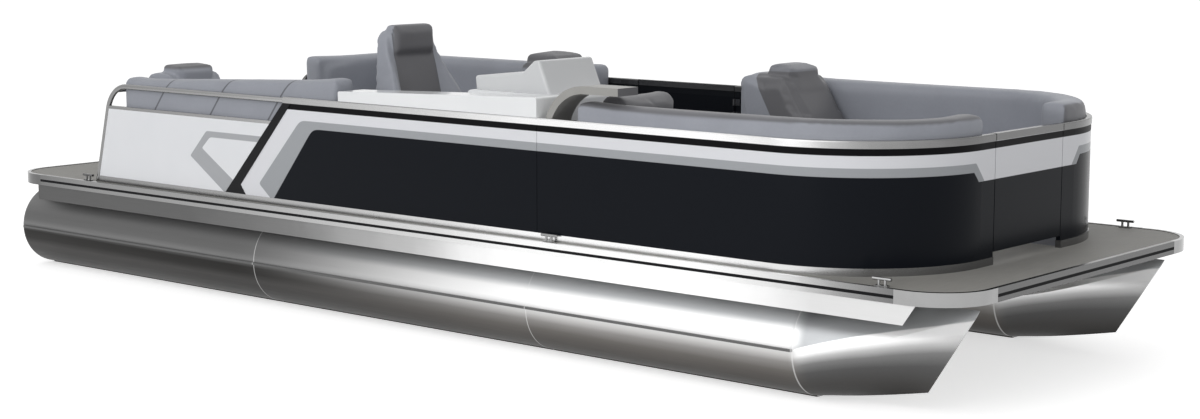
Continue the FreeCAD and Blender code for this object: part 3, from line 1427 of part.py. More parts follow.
def chair_cushions():
    """The seat, and the back with its head pillow."""
    half = chair_seat_width / 2
    seat = pad("chair_seat", "XY", chair_foot, chair_seat_thick,
               rectangle(chair_x - chair_seat_aft, chair_x + chair_seat_fore, chair_y - half, chair_y + half,
                         chair_seat_corner))
    round_edges(seat, chair_seat_round, upper_edges(chair_foot + chair_seat_thick))
    low = chair_top - pillow_drop
    pillow = pad("chair_pillow", "XZ", chair_y - pillow_width / 2, pillow_width,
                 [(chair_x - pillow_aft + pillow_round, low), (chair_x - pillow_fore, low),
                  (chair_x - pillow_fore, chair_top), (chair_x - pillow_aft, chair_top)])
    round_edges(pillow, pillow_round)
    return group("chair_cushions", seat, fuse("chair_back_soft", chair_back(), pillow))


node(chair_pedestal())
node(chair_frame())
node(chair_cushions())


# Deck fittings
def cleat(label, x, side):
    """A low cleat with two horns."""
    y = (fence_face + cleat_gap) * side
    half_length = cleat_base_length / 2
    half_width = cleat_base_width / 2
    base = box(label + "_base", x - half_length, x + half_length, y - half_width, y + half_width,
               deck_top, deck_top + cleat_base_thick)
    posts = [cylinder(f"{label}_post_{i}", cleat_post / 2, cleat_height, x + post_spacing / 2 * i, y,
                      deck_top)
             for i in (-1, 1)]
    horn = cylinder(label + "_horn", horn_diameter / 2, cleat_length, x - cleat_length / 2, y,
                    deck_top + cleat_height, turn_to_x)
    return fuse(label, base, *posts, horn)


def cleats():
    places = {"aft": at(cleat_aft), "middle": cleat_middle, "bow": bow(cleat_bow)}
    return group("cleats", *[cleat(f"cleat_{name}_{'port' if side > 0 else 'starboard'}", x, side)
                             for name, x in places.items() for side in (-1, 1)])


# Boarding ladder
ladder_x = at(0) - ladder_axis
ladder_y = half_beam - ladder_inset
ladder_z = rim_top + ladder_tube / 2 + ladder_lift
ladder_half = ladder_width / 2
barrel_half = ladder_half + ladder_tube / 2


def ladder():
    """Two side tubes and three treads on a hinge tube, lying forwards on the deck."""
    radius = ladder_tube / 2
    barrel = cylinder("ladder_barrel", radius, barrel_half * 2, ladder_x, ladder_y - barrel_half, ladder_z,
                      turn_to_y)
    bore = cylinder("ladder_bore", ladder_pin / 2 + ladder_pin_gap, barrel_half * 2, ladder_x,
                    ladder_y - barrel_half, ladder_z, turn_to_y)
    tubes = [cylinder(f"ladder_tube_{i}", radius, ladder_length, ladder_x, ladder_y + ladder_half * i,
                      ladder_z, turn_to_x) for i in (-1, 1)]
    treads = []
    for i in range(tread_count):
        front = ladder_x + ladder_length - tread_pitch * i
        treads.append(box(f"ladder_tread_{i}", front - tread_depth, front, ladder_y - ladder_half,
                          ladder_y + ladder_half, ladder_z - tread_thick / 2, ladder_z + tread_thick / 2))
    return cut("boarding_ladder", fuse("ladder_solid", barrel, *tubes, *treads), bore)


def ladder_brackets():
    """Two cheeks on the stern rim with the hinge pin between them."""
    inner = barrel_half + cheek_gap
    outer = inner + cheek_thick
    aft = ladder_x - ladder_ear
    top = ladder_z + ladder_ear
    fore = at(rim_thick)
    starboard = box("ladder_cheek_starboard", aft, fore, ladder_y - outer, ladder_y - inner, rim_top, top)
    port = box("ladder_cheek_port", aft, fore, ladder_y + inner, ladder_y + outer, rim_top, top)
    pin = cylinder("ladder_hinge_pin", ladder_pin / 2, outer * 2, ladder_x, ladder_y - outer, ladder_z,
                   turn_to_y)
    return fuse("ladder_brackets", starboard, port, pin)


node(cleats())
node(ladder())
node(ladder_brackets())


# Check and write every piece
def export():
    doc.recompute()
    for thing in doc.Objects:
        if "Invalid" in thing.State or "Error" in thing.State:
            raise RuntimeError(f"{thing.Label} did not build: {thing.State}")
    os.makedirs("parts", exist_ok=True)
    for piece in nodes:
        shape = piece.Shape
        if shape.isNull() or not shape.isValid():
            raise RuntimeError(f"{piece.Label} has no valid shape")
        shape.exportStep(f"parts/{piece.Label}.step")


export()
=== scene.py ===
# %% [markdown]
# # A pontoon boat, dressed
# The hull, deck, fence and seats come as a fixed frame in metres, with the bow along +X, port
# along +Y and the keels at z = 0. This lesson gives each part its finish, swells the cushions,
# and adds the seams of the cushions and two gauges on the helm's pod.

# %% Load the frame
import bpy
import json
import math
import time
from mathutils import Euler, Matrix, Vector


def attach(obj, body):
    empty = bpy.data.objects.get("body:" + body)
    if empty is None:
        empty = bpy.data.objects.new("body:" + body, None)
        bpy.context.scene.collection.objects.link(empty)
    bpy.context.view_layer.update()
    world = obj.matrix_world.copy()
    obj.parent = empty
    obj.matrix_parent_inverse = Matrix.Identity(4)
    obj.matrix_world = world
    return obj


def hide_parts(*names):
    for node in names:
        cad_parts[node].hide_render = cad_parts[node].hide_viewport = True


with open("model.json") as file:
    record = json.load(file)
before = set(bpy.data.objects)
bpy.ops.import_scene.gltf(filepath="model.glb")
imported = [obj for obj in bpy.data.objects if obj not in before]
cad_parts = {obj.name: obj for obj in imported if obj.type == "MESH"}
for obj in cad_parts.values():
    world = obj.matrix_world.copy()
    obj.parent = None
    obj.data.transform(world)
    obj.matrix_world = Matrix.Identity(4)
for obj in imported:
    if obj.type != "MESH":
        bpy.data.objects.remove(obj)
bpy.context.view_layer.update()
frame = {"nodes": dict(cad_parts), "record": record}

nodes = frame["nodes"]

# %% [markdown]
# ## Selecting in code
# An operator works on whatever is selected, so each step starts from nothing selected and
# then picks one object.

# %% Select one object
def only(piece):
    """Select and activate one object."""
    if bpy.context.mode != "OBJECT":
        bpy.ops.object.mode_set(mode="OBJECT")
    bpy.ops.object.select_all(action="DESELECT")
    piece.select_set(True)
    bpy.context.view_layer.objects.active = piece
    return piece


only(nodes["deck_floor"])

# %% [markdown]
# ## Places on the boat
# Some lines of the frame are needed again and again: the welds that run round the tubes, the
# line where the noses start, the middle of the helm, and how far the rails reach.

# %% Name the places, in metres
tube_centre = 0.2745
tube_top = 0.55
plate_welds = (-1.24, 1.032)
nose_weld = 2.81
nose_start, nose_end = 2.811, 3.70
helm_middle = -0.6
rail_reach = 3.8
print("welds at x =", *plate_welds, nose_weld)

# %% [markdown]
# ## Camera
# The photograph was matched with a camera 2.4 m above the keels, off the starboard bow,
# turned 40.4 degrees and looking down 8 degrees through a 63 mm lens on a 36 mm frame.

# %% Set up the camera
camera_data = bpy.data.cameras.new("view_camera")
camera_data.lens = 62.98
camera_data.sensor_width = 36
camera_data.sensor_fit = "HORIZONTAL"
camera_data.clip_end = 200
camera = bpy.data.objects.new("view_camera", camera_data)
camera.location = (8.676, -9.589, 2.398)
camera.rotation_euler = (math.radians(90 - 7.965), 0, math.radians(40.438))
bpy.context.scene.collection.objects.link(camera)
bpy.context.scene.camera = camera
bpy.context.scene.view_settings.view_transform = "Standard"
print("camera at", tuple(round(v, 3) for v in camera.location))

# %% [markdown]
# ## Sums on shader sockets
# A material is a tree of nodes. Wrapping a socket in a small class lets a mask be written as a
# sum, such as `1 - band`, and every other node comes from one method.

# %% A socket that takes part in sums
class Mask:
    """One socket of a material's tree. Sums on it add Math nodes."""

    def __init__(self, tree, socket=None):
        self.tree = tree
        self.socket = socket

    def add(self, kind, settings=None, sockets=None, out=0):
        """Add a node: its settings first, then the values or links of its sockets."""
        fresh = self.tree.nodes.new(kind)
        for name, value in (settings or {}).items():
            if name == "stops":
                elements = fresh.color_ramp.elements
                while len(elements) < len(value):
                    elements.new(0.5)
                for stop, (place, colour) in zip(elements, value):
                    stop.position = place
                    stop.color = (*colour, 1)
            else:
                setattr(fresh, name, value)
        for name, value in (sockets or {}).items():
            if isinstance(value, Mask):
                self.tree.links.new(value.socket, fresh.inputs[name])
            else:
                fresh.inputs[name].default_value = value
        return Mask(self.tree, fresh.outputs[out])

    def maths(self, operation, *values):
        """Add a Math node on this socket and up to two more values."""
        sums = dict(enumerate((self,) + values))
        return self.add("ShaderNodeMath", {"operation": operation}, sums)

    def __add__(self, other):
        return self.maths("ADD", other)

    def __sub__(self, other):
        return self.maths("SUBTRACT", other)

    def __mul__(self, other):
        return self.maths("MULTIPLY", other)

    def __radd__(self, other):
        return self + other

    def __rsub__(self, other):
        return (self * -1) + other

    def above(self, level, soft=0.001):
        """1 above a level and 0 below it, with a soft step."""
        return self.add("ShaderNodeMapRange", {"interpolation_type": "SMOOTHSTEP"},
                        {"Value": self, "From Min": level - soft, "From Max": level + soft})

    def below(self, level, soft=0.001):
        """1 below a level and 0 above it."""
        return 1 - self.above(level, soft)

    def between(self, low, high, soft=0.001):
        """1 from one level to another and 0 outside them."""
        return self.above(low, soft) * self.below(high, soft)

    def magnitude(self):
        """The value without its sign."""
        return self.maths("ABSOLUTE")

    def least(self, other, round_off):
        """The smaller of two values, with the corner between them rounded off."""
        return self.maths("SMOOTH_MIN", other, round_off)

    def wave(self, ridges):
        """A wave from 0 to 1; ridges is its number of radians for each metre."""
        return (self * ridges).maths("SINE") * 0.5 + 0.5


def mix_colours(share, first, second):
    """A colour between two, by a mask. The Mix node's sockets 6 and 7 are its two colours."""
    sockets = {0: share}
    for number, value in ((6, first), (7, second)):
        sockets[number] = value if isinstance(value, Mask) else (*value, 1)
    settings = {"data_type": "RGBA", "clamp_factor": True}
    return share.add("ShaderNodeMix", settings, sockets, out=2)


# %% [markdown]
# ## A material to start from
# Each finish starts as a principled shader with its constant values on its own sockets. Places
# on the boat are read from Object coordinates, which are metres from the keel line.

# %% Start a material
def srgb(*levels):
    """Screen levels from 0 to 255 as the linear values that shaders take."""
    return tuple((v / 255 / 12.92) if v <= 10 else ((v / 255 + 0.055) / 1.055) ** 2.4
                 for v in levels)


class Finish:
    """A material with its shader, and the places that its patterns read."""

    def __init__(self, name, colour, roughness, metallic=0.0, coat=0.0, sheen=0.0,
                 specular=0.5):
        self.material = bpy.data.materials.new(name)
        self.material.use_nodes = True
        self.tree = self.material.node_tree
        self.shader = self.tree.nodes["Principled BSDF"]
        self.start = Mask(self.tree)
        place = self.start.add("ShaderNodeTexCoord", out=3)
        self.place = place
        split = place.add("ShaderNodeSeparateXYZ", None, {0: place})
        node = split.socket.node
        self.x, self.y, self.z = (Mask(self.tree, node.outputs[i]) for i in range(3))
        self.set("Base Color", (*colour, 1))
        self.set("Roughness", roughness)
        self.set("Metallic", metallic)
        self.set("Coat Weight", coat)
        self.set("Coat Roughness", 0.08)
        self.set("Sheen Weight", sheen)
        self.set("Specular IOR Level", specular)

    def set(self, name, value):
        """Link a mask to one of the shader's sockets, or write a constant on it."""
        if isinstance(value, Mask):
            self.tree.links.new(value.socket, self.shader.inputs[name])
        else:
            self.shader.inputs[name].default_value = value

    def noise(self, scale, detail, stretch=(1, 1, 1)):
        """Noise in metres on the boat, stretched along an axis by a small factor there."""
        spread = self.start.add("ShaderNodeMapping", None,
                                {"Vector": self.place, "Scale": stretch})
        return self.start.add("ShaderNodeTexNoise", None,
                              {"Vector": spread, "Scale": scale, "Detail": detail})

    def cells(self, scale):
        """Distance from the middle of small cells, so many to the metre."""
        return self.start.add("ShaderNodeTexVoronoi", None,
                              {"Vector": self.place, "Scale": scale})

    def bump(self, height, strength, distance):
        """Relief from a mask, as deep as distance in metres."""
        self.set("Normal", self.start.add("ShaderNodeBump", None, {
            "Height": height, "Strength": strength, "Distance": distance}))

    def dress(self, *names):
        """Put the finish on CAD nodes by name, or on pieces."""
        for item in names:
            piece = nodes[item] if isinstance(item, str) else item
            piece.data.materials.clear()
            piece.data.materials.append(self.material)


# %% [markdown]
# ## Bare aluminium tubes
# The tubes are rolled from sheet, with a buffed ring at each weld. Their colour is painted light
# and shade: a painted highlight on the upper flank towards the bow and a duller grey towards the
# stern, with a painted shadow under the strake at the stern and darker painted shade on the
# lower half of each tube. Two ramps up the tube's height give these tones, one for the stern and
# one for the bow, and a third follows the crease of the noses, with a painted highlight just
# under it. The strakes are painted a flat grey. Under the deck the skin is sheltered and shows
# its own grey.

# %% Aluminium for the tubes and noses
def grey(level, warm=0):
    """A screen grey from 0 to 255, a little warmer or cooler."""
    return srgb(level + warm, level, level - warm)


def ramp(place, *stops):
    """Greys along a mask: where each stands, its level, and its warmth where it has one."""
    colours = tuple((share, grey(*level)) for share, *level in stops)
    return place.add("ShaderNodeValToRGB", {"stops": colours}, {0: place})


def share_between(value, low, high):
    """0 at one end of a range and 1 at the other."""
    return value.add("ShaderNodeMapRange", None,
                     {"Value": value, "From Min": low, "From Max": high})


def smooth_share(value, low, high):
    """0 below a range and 1 above it, with a soft rise between."""
    return value.add("ShaderNodeMapRange", {"interpolation_type": "SMOOTHSTEP"},
                     {"Value": value, "From Min": low, "From Max": high})


def weld_ring(place, half, soft):
    """A ring round the tubes at one place along the boat."""
    return tube_metal.x.between(place - half, place + half, soft)


tube_metal = Finish("tube_aluminium", grey(150), 0.34)
streaks = tube_metal.noise(9, 4, (0.10, 1, 1))
grain = tube_metal.noise(160, 2, (0.03, 1, 1))
blotches = tube_metal.noise(1.6, 3, (0.5, 1, 1))
wander = streaks * 0.04 - 0.02
height = share_between(tube_metal.z, 0, tube_top) + wander
# Painted light and shade up the tube at the stern: dark lower half, a painted shadow under the
# strake, lighter above
stern_painted_shading = ramp(height, (0.07, 47, 1), (0.15, 50, 1), (0.22, 54, 1), (0.29, 66, 1),
                  (0.37, 43, 1), (0.45, 43, 1), (0.50, 92), (0.54, 120),
                  (0.60, 104), (0.75, 100), (0.82, 112), (1.0, 116))
# Painted light and shade up the tube at the bow: dark lower half and a bright painted highlight
# on the upper flank
bow_painted_shading = ramp(height, (0.02, 58, 2), (0.07, 55, 2), (0.15, 70, 3), (0.22, 87, 3),
                (0.29, 102, 3), (0.38, 138, 2), (0.45, 192, 1), (0.52, 222),
                (0.57, 250), (0.68, 246), (0.74, 200, -2), (0.82, 188, -2))
towards_bow = smooth_share(tube_metal.x, -1.5, 1.5)
nose_share = share_between(tube_metal.x, nose_start, nose_end).maths("MAXIMUM", 0.0)
crease_rise = 0.225
crease = nose_share.maths("POWER", 0.8) * crease_rise + tube_centre
crease_stop = 0.6
nose_height = (tube_metal.z - crease) * (2.2 - nose_share) + crease_stop + wander * 0.5
# Painted light and shade on the noses: a painted highlight just under the crease and mid grey
# above it
nose_painted_shading = ramp(nose_height, (0.0, 50, 1), (0.16, 72, 1), (0.30, 88), (0.40, 124),
                 (0.47, 190), (0.52, 248), (0.595, 250), (0.605, 172, -2),
                 (0.75, 166, -2), (0.95, 128, -2))
tube_colour = mix_colours(towards_bow, stern_painted_shading, bow_painted_shading)
tube_colour = mix_colours(tube_metal.x.above(2.83, 0.05), tube_colour, nose_painted_shading)
across = tube_metal.y.magnitude()
strake = across.above(1.2500, 0.0005) + across.between(0.700, 0.7100, 0.0005)
tube_colour = mix_colours(strake.maths("MINIMUM", 1.0), tube_colour, grey(100))
welds = weld_ring(plate_welds[0], 0.003, 0.002) + weld_ring(plate_welds[1], 0.003, 0.002)
welds = welds + weld_ring(nose_weld, 0.004, 0.003)
beads = tube_metal.y.wave(700)
tube_metal.set("Base Color", mix_colours(welds * 0.5, tube_colour, grey(225)))
tube_metal.set("Roughness", 0.34 + grain * 0.14 + blotches * 0.08)
sheltered = smooth_share(tube_metal.z, 0.36, 0.42)
tube_metal.set("Metallic", 1 - sheltered * 0.9)
tube_metal.bump(grain * 0.4 + welds * (1 + beads * 0.5), 0.35, 0.0012)
tube_metal.dress("pontoon_tube_starboard", "pontoon_tube_port", "nose_cones", "motor_pod")
print("tube tones:", len(tube_metal.tree.nodes), "nodes")

# %% [markdown]
# ## Frame metal
# The risers, cross channels and side skirts are plain mill sheet, a little more matt. As on the
# tubes, their colour is painted light and shade: dark towards the stern and a bright painted
# highlight towards the bow.

# %% Mill finish for the frame
mill_metal = Finish("mill_sheet", srgb(150, 152, 154), 0.42, metallic=1.0)
mill_grain = mill_metal.noise(120, 2, (0.04, 1, 1))
mill_cloud = mill_metal.noise(3, 3)
# Painted light and shade along the boat: dark at the stern, a painted highlight towards the bow
mill_painted_light = share_between(mill_metal.x, -3.7, 3.0) + mill_cloud * 0.06 - 0.03
mill_metal.set("Base Color", ramp(mill_painted_light, (0.0, 92), (0.28, 98), (0.42, 120), (0.58, 182),
                                  (0.68, 240), (0.86, 250), (1.0, 204)))
mill_metal.set("Roughness", 0.34 + mill_grain * 0.2)
mill_metal.bump(mill_grain, 0.15, 0.0005)
mill_metal.dress("deck_risers", "cross_channels", "side_skirts")

# %% [markdown]
# ## Bright extrusions
# The deck rim, the fence rails, the ladder and the chair's post are anodised, with a grain that
# runs along the extrusion and slightly duller patches where fingers have been. Their colour is
# painted light and shade: a painted highlight ahead of the middle of the boat, darker towards the
# stern and the bow, and a darker painted shade on the port rails. The corner castings and the
# small fittings are polished, with painted shade towards the stern.

# %% Anodised rails and rim
# The port rails' painted shade
port_rail_painted_shade = grey(112)


def rail_painted_shading(place):
    """Painted light and shade along the boat from the stern to the bow, as a rail shows them to
    starboard.
    """
    return ramp(place, (0.02, 100), (0.12, 134), (0.30, 150), (0.44, 176), (0.55, 200),
                (0.63, 228), (0.80, 232), (0.87, 196), (0.91, 144), (0.95, 112), (0.99, 100))


bright_metal = Finish("bright_extrusion", srgb(196, 197, 199), 0.22, metallic=1.0)
rail_grain = bright_metal.noise(220, 2, (0.03, 0.03, 1))
rail_cloud = bright_metal.noise(5, 3)
rail_place = share_between(bright_metal.x, -rail_reach, rail_reach) + rail_cloud * 0.02 - 0.01
port_rail = bright_metal.y.above(0.2, 0.2) * bright_metal.z.above(1.2, 0.01)
bright_metal.set("Base Color", mix_colours(port_rail, rail_painted_shading(rail_place), port_rail_painted_shade))
bright_metal.set("Roughness", 0.16 + rail_cloud * 0.12 + rail_grain * 0.06)
bright_metal.bump(rail_grain, 0.08, 0.0004)
bright_metal.dress("rim_extrusions", "foot_rail_starboard", "foot_rail_port",
                   "top_rail_starboard", "top_rail_port", "aft_rails", "boarding_ladder",
                   "chair_pedestal")

# %% Polished castings and stainless fittings
polished_metal = Finish("polished_fittings", srgb(225, 226, 228), 0.1, metallic=1.0)
polish_cloud = polished_metal.noise(14, 3)
polished_metal.set("Roughness", 0.06 + polish_cloud * 0.12)
# Painted light and shade: darker towards the stern and lighter towards the bow, as on the tubes
polish_painted_light = smooth_share(polished_metal.x, -3.5, 1.0) * 0.8 + polish_cloud * 0.2
polished_metal.set("Base Color", mix_colours(polish_painted_light, grey(96), grey(158)))
polished_metal.dress("corner_castings", "cleats", "gate_hinges", "ladder_brackets")

# %% [markdown]
# ## Painted fence panels
# The side panels are smooth painted sheet: near black below, then a thin silver stripe, a white
# band and a black strip under the rail. The stripe turns down at the slanted post, and steps at
# the bow. All of it is drawn by place, so it runs across the panel joints and the gates.

# %% Panel paint with its bands
panel_paint = Finish("fence_paint", srgb(28, 31, 36), 0.3, specular=0.06)
side = panel_paint.y.magnitude()
along = panel_paint.x
up = panel_paint.z
dark_top, silver_top, step_top = 1.140, 1.185, 1.09
strip_bottom, strip_top, rail_bottom = 1.246, 1.281, 1.283
edge = 0.0012  # how softly one paint meets the next


def ahead_of(finish, low, high):
    """How far a place lies forward of the slanted line through two points, in metres."""
    run, rise = high[0] - low[0], high[1] - low[1]
    length = math.hypot(run, rise)
    return (finish.x - low[0]) * (rise / length) - (finish.z - low[1]) * (run / length)


slant_outer = ahead_of(panel_paint, (-1.193, 0.773), (-0.816, 1.174))
foot_outer = ahead_of(panel_paint, (-1.080, 0.685), (-1.193, 0.773))
slant_inner = ahead_of(panel_paint, (-1.064, 0.687), (-0.707, 1.127))
outer_area = (silver_top - up).least(slant_outer, 0.05).least(foot_outer, 0.03)
inner_area = (dark_top - up).least(slant_inner, 0.06)
at_front = along.above(3.30, 0.002)


def stepped(level, foot):
    """1 under a level that steps down beside the bow gate, and 0 above it."""
    diagonal = (side - foot) * 0.765 - (up - step_top) * 0.644
    under = (level - up).least(diagonal, 0.006).maths("MAXIMUM", step_top - up)
    return under.above(0, edge)


dark = inner_area.above(0, edge) * (1 - at_front) + stepped(dark_top, 0.505) * at_front
silver = outer_area.above(0, edge) * (1 - at_front) + stepped(silver_top, 0.452) * at_front
silver = silver * (1 - dark)
strip = up.above(strip_bottom) * up.below(strip_top)
rail_part = up.above(rail_bottom)

# %% The panels' inner faces, behind the bow's curve, are plain
curve_x, curve_y, curve_radius = 2.655, 0.48, 0.7375
beyond_x = (along - curve_x).maths("MAXIMUM", 0.0)
beyond_y = (side - curve_y).maths("MAXIMUM", 0.0)
outside = (beyond_x * beyond_x + beyond_y * beyond_y).maths("SQRT").above(curve_radius)

# %% Colour the panels
flake = panel_paint.cells(900)
silver_colour = mix_colours(flake * 0.5, srgb(158, 161, 165), srgb(176, 178, 181))
panel_colour = mix_colours(silver, srgb(224, 225, 229), silver_colour)
panel_colour = mix_colours(dark, panel_colour, srgb(17, 20, 26))
panel_colour = mix_colours(strip, panel_colour, srgb(10, 10, 12))
panel_colour = mix_colours(outside, srgb(20, 22, 26), panel_colour)
# The rail part takes the rails' painted light and shade along the boat, and the port rails'
# painted shade
rail_colour = rail_painted_shading(share_between(along, -rail_reach, rail_reach))
rail_colour = mix_colours(panel_paint.y.above(0.2, 0.2), rail_colour, port_rail_painted_shade)
panel_colour = mix_colours(rail_part, panel_colour, rail_colour)
ripple = panel_paint.noise(2.2, 2, (0.5, 1, 1))
peel = panel_paint.noise(240, 2)
panel_paint.set("Base Color", panel_colour)
panel_paint.set("Roughness", 0.2 + strip * 0.2 + ripple * 0.06)
panel_paint.set("Metallic", rail_part)
panel_paint.bump(ripple * 3 + peel * 0.05, 0.08, 0.002)
panel_paint.dress("fence_bow_starboard", "fence_bow_port", "fence_mid_starboard",
                  "fence_mid_port", "bow_gate", "side_gate")
print("dark below", dark_top, "m, silver to", silver_top, "m, strip to", strip_top, "m")

# %% [markdown]
# ## White aft panels
# The low aft panels are white, with a silver chevron against the slanted post.

# %% White paint with the chevron
white_paint = Finish("white_panel_paint", srgb(226, 228, 231), 0.24, coat=0.4)


def arrow(top, tip, brow, heel):
    """1 inside an arrow that points aft, under its top, its tip between two slants."""
    inside = (top - white_paint.z).least(ahead_of(white_paint, tip, brow), 0.02)
    return inside.least(ahead_of(white_paint, heel, tip), 0.02).above(0, edge)


outer_arrow = arrow(1.0645, (-1.850, 0.898), (-1.689, 1.062), (-1.519, 0.688))
inner_arrow = arrow(1.027, (-1.733, 0.954), (-1.658, 1.022), (-1.451, 0.782))
outer_faces = white_paint.y.magnitude().above(1.2)
chevron = outer_arrow * (1 - inner_arrow) * outer_faces
white_cloud = white_paint.noise(2.5, 2)
white_peel = white_paint.noise(240, 2)
white_tone = mix_colours(white_cloud, srgb(222, 224, 228), srgb(230, 231, 234))
white_paint.set("Base Color", mix_colours(chevron, white_tone, srgb(160, 162, 166)))
white_paint.set("Roughness", 0.22 + white_cloud * 0.06)
white_paint.bump(white_cloud * 2 + white_peel * 0.05, 0.08, 0.002)
white_paint.dress("quarter_panels", "stern_panels", "stern_gate")

# %% Black trim and rubber
black_trim = Finish("black_trim", srgb(22, 22, 24), 0.35, specular=0.1)
trim_grain = black_trim.noise(500, 2)
black_trim.set("Roughness", 0.3 + trim_grain * 0.12)
black_trim.set("Base Color", mix_colours(trim_grain, srgb(16, 16, 18), srgb(28, 28, 31)))
black_trim.bump(trim_grain, 0.1, 0.0003)
black_trim.dress("slanted_posts")

rubber = Finish("rub_rubber", srgb(24, 24, 25), 0.7, specular=0.05)
rubber_grain = rubber.noise(300, 3)
rubber.set("Base Color", mix_colours(rubber_grain, srgb(16, 16, 17), srgb(38, 38, 40)))
rubber.set("Roughness", 0.5 + rubber_grain * 0.25)
rubber.bump(rubber_grain, 0.2, 0.0005)
rubber.dress("rub_inserts")

# %% [markdown]
# ## Woven vinyl deck
# The deck is covered with grey-brown woven vinyl: two sets of thin yarns cross at right angles.
# The threads are waves along the boat and across it, and noise varies their shade.

# %% Deck weave
deck_vinyl = Finish("deck_weave", srgb(118, 113, 106), 0.62)
warp = deck_vinyl.x.wave(1500)
weft = deck_vinyl.y.wave(1500)
tread = warp * weft
yarn = deck_vinyl.noise(90, 3, (1, 0.08, 1))
patches = deck_vinyl.noise(1.4, 3)
deck_tone = yarn * 0.5 + patches * 0.35 + tread * 0.15
deck_vinyl.set("Base Color", mix_colours(deck_tone, srgb(108, 107, 104), srgb(160, 158, 153)))
deck_vinyl.set("Roughness", 0.55 + yarn * 0.2)
deck_vinyl.bump(tread + yarn * 0.4, 0.25, 0.0008)
deck_vinyl.dress("deck_floor")

# %% [markdown]
# ## Moulded parts
# The helm's ledge, console and pod are glossy white gelcoat over fibreglass, each given its own
# grey as painted light and shade. The arch and the seat bases are grey plastic with a fine pebble
# grain, with painted shade on the arch's padded end, and the steering wheel is near black.

# %% Gelcoat, one white with painted light and shade: lightest on the ledge, greyest on the pod
# Painted light and shade: one white gelcoat given a lighter grey on the ledge and darker ones on
# the console and pod
for name, level in (("helm_ledge", 236), ("helm_console", 222), ("instrument_pod", 204)):
    gelcoat = Finish(name + "_gelcoat", grey(level), 0.2, coat=0.3)
    gel_cloud = gelcoat.noise(2, 2)
    gel_peel = gelcoat.noise(180, 2)
    gelcoat.set("Base Color", mix_colours(gel_cloud, grey(level - 6, -2), grey(level + 6, -1)))
    gelcoat.set("Roughness", 0.18 + gel_cloud * 0.08)
    gelcoat.bump(gel_cloud * 2 + gel_peel * 0.06, 0.08, 0.002)
    gelcoat.dress(name)

# %% The arch, grey, with painted shade on its padded end
arch_finish = Finish("arch_plastic", srgb(150, 149, 146), 0.4)
arch_cloud = arch_finish.noise(5, 3)
arch_grain = arch_finish.cells(420)
arch_tone = mix_colours(arch_cloud, srgb(143, 142, 139), srgb(159, 158, 155))
# Painted shade on the arch's forward, padded end
shaded_padded_end = arch_finish.x.above(1.648, 0.001)
arch_finish.set("Base Color", mix_colours(shaded_padded_end, arch_tone, srgb(98, 98, 101)))
arch_finish.set("Roughness", 0.36 + arch_cloud * 0.12)
arch_finish.bump(arch_grain, 0.12, 0.0004)
arch_finish.dress("console_arch")

# %% Rotomoulded plastic
base_plastic = Finish("base_plastic", srgb(122, 124, 130), 0.55)
pebble = base_plastic.cells(420)
base_cloud = base_plastic.noise(4, 3)
base_plastic.set("Base Color", mix_colours(base_cloud, srgb(108, 110, 116), srgb(134, 136, 142)))
base_plastic.set("Roughness", 0.48 + base_cloud * 0.12)
base_plastic.bump(pebble, 0.2, 0.0005)
base_plastic.dress("lounge_base_bow_starboard", "lounge_base_bow_port",
                   "lounge_base_aft_starboard", "lounge_base_aft_port", "chair_frame")

# %% Steering wheel plastic
wheel_plastic = Finish("wheel_plastic", srgb(24, 24, 26), 0.42)
wheel_grain = wheel_plastic.cells(700)
wheel_cloud = wheel_plastic.noise(30, 3)
wheel_plastic.set("Base Color", mix_colours(wheel_cloud, srgb(18, 18, 20), srgb(34, 34, 37)))
wheel_plastic.set("Roughness", 0.36 + wheel_cloud * 0.14)
wheel_plastic.bump(wheel_grain, 0.2, 0.0004)
wheel_plastic.dress("steering_wheel")

# %% [markdown]
# ## Seat vinyl
# The cushions are grey marine vinyl with a fine leather grain: small cells are its pores and
# noise its creases. Some panels are a darker grey, and the seams are thin sunk lines. On four
# bow cushions the darker grey is painted shade instead: over a whole chaise, on the front of
# another, and on the faces of the bow backs that look up or to the bow. Masks say where all of
# these are, by place and by the way that a face looks.

# %% Seat vinyl
def near(value, place, half=0.002):
    """A thin line at one value."""
    return value.between(place - half, place + half, edge)


def seat_vinyl(name, darker=None, seams=None):
    """Grey vinyl, with darker panels or painted shade, and sunk seams, where the two masks say.
    """
    finish = Finish(name, srgb(146, 149, 156), 0.5, sheen=0.05)
    pores = finish.cells(520)
    creases = finish.noise(60, 4)
    shade = finish.noise(3.5, 3)
    tone = shade * 0.7 + creases * 0.3
    colour = mix_colours(tone, srgb(132, 135, 143), srgb(154, 157, 166))
    relief = pores * 0.6 + creases
    if darker:
        dark_colour = mix_colours(tone, srgb(84, 84, 87), srgb(104, 104, 108))
        colour = mix_colours(darker(finish), colour, dark_colour)
    if seams:
        line = seams(finish)
        colour = mix_colours(line * 0.75, colour, srgb(62, 63, 68))
        relief = relief - line * 4
    finish.set("Base Color", colour)
    finish.set("Roughness", 0.42 + creases * 0.16)
    finish.bump(relief, 0.25, 0.0009)
    return finish


BOW, UP = 0, 2


def facing(finish, axis):
    """How far the surface looks to the bow, or up, from -1 to 1."""
    normal = finish.start.add("ShaderNodeTexCoord", out=1)
    split = normal.add("ShaderNodeSeparateXYZ", None, {0: normal})
    return Mask(finish.tree, split.socket.node.outputs[axis])


insert_half, seat_back_foot = 0.165, 1.12


def chair_insert(finish):
    """The middle of the chair's seat and back, and the top of its head pillow."""
    middle = (finish.y - helm_middle).magnitude()
    front = facing(finish, BOW).above(0.35, 0.1)
    back = middle.below(insert_half, 0.004) * finish.z.above(seat_back_foot) * front
    seat = middle.below(0.17, 0.004) * finish.z.below(1.15) * finish.x.between(-0.36, -0.05)
    seat = seat * facing(finish, UP).above(0.7, 0.05)
    crown = finish.z.above(1.74, 0.004) * middle.below(0.15, 0.004)
    return (back + seat + crown * 0.75).maths("MINIMUM", 1.0)


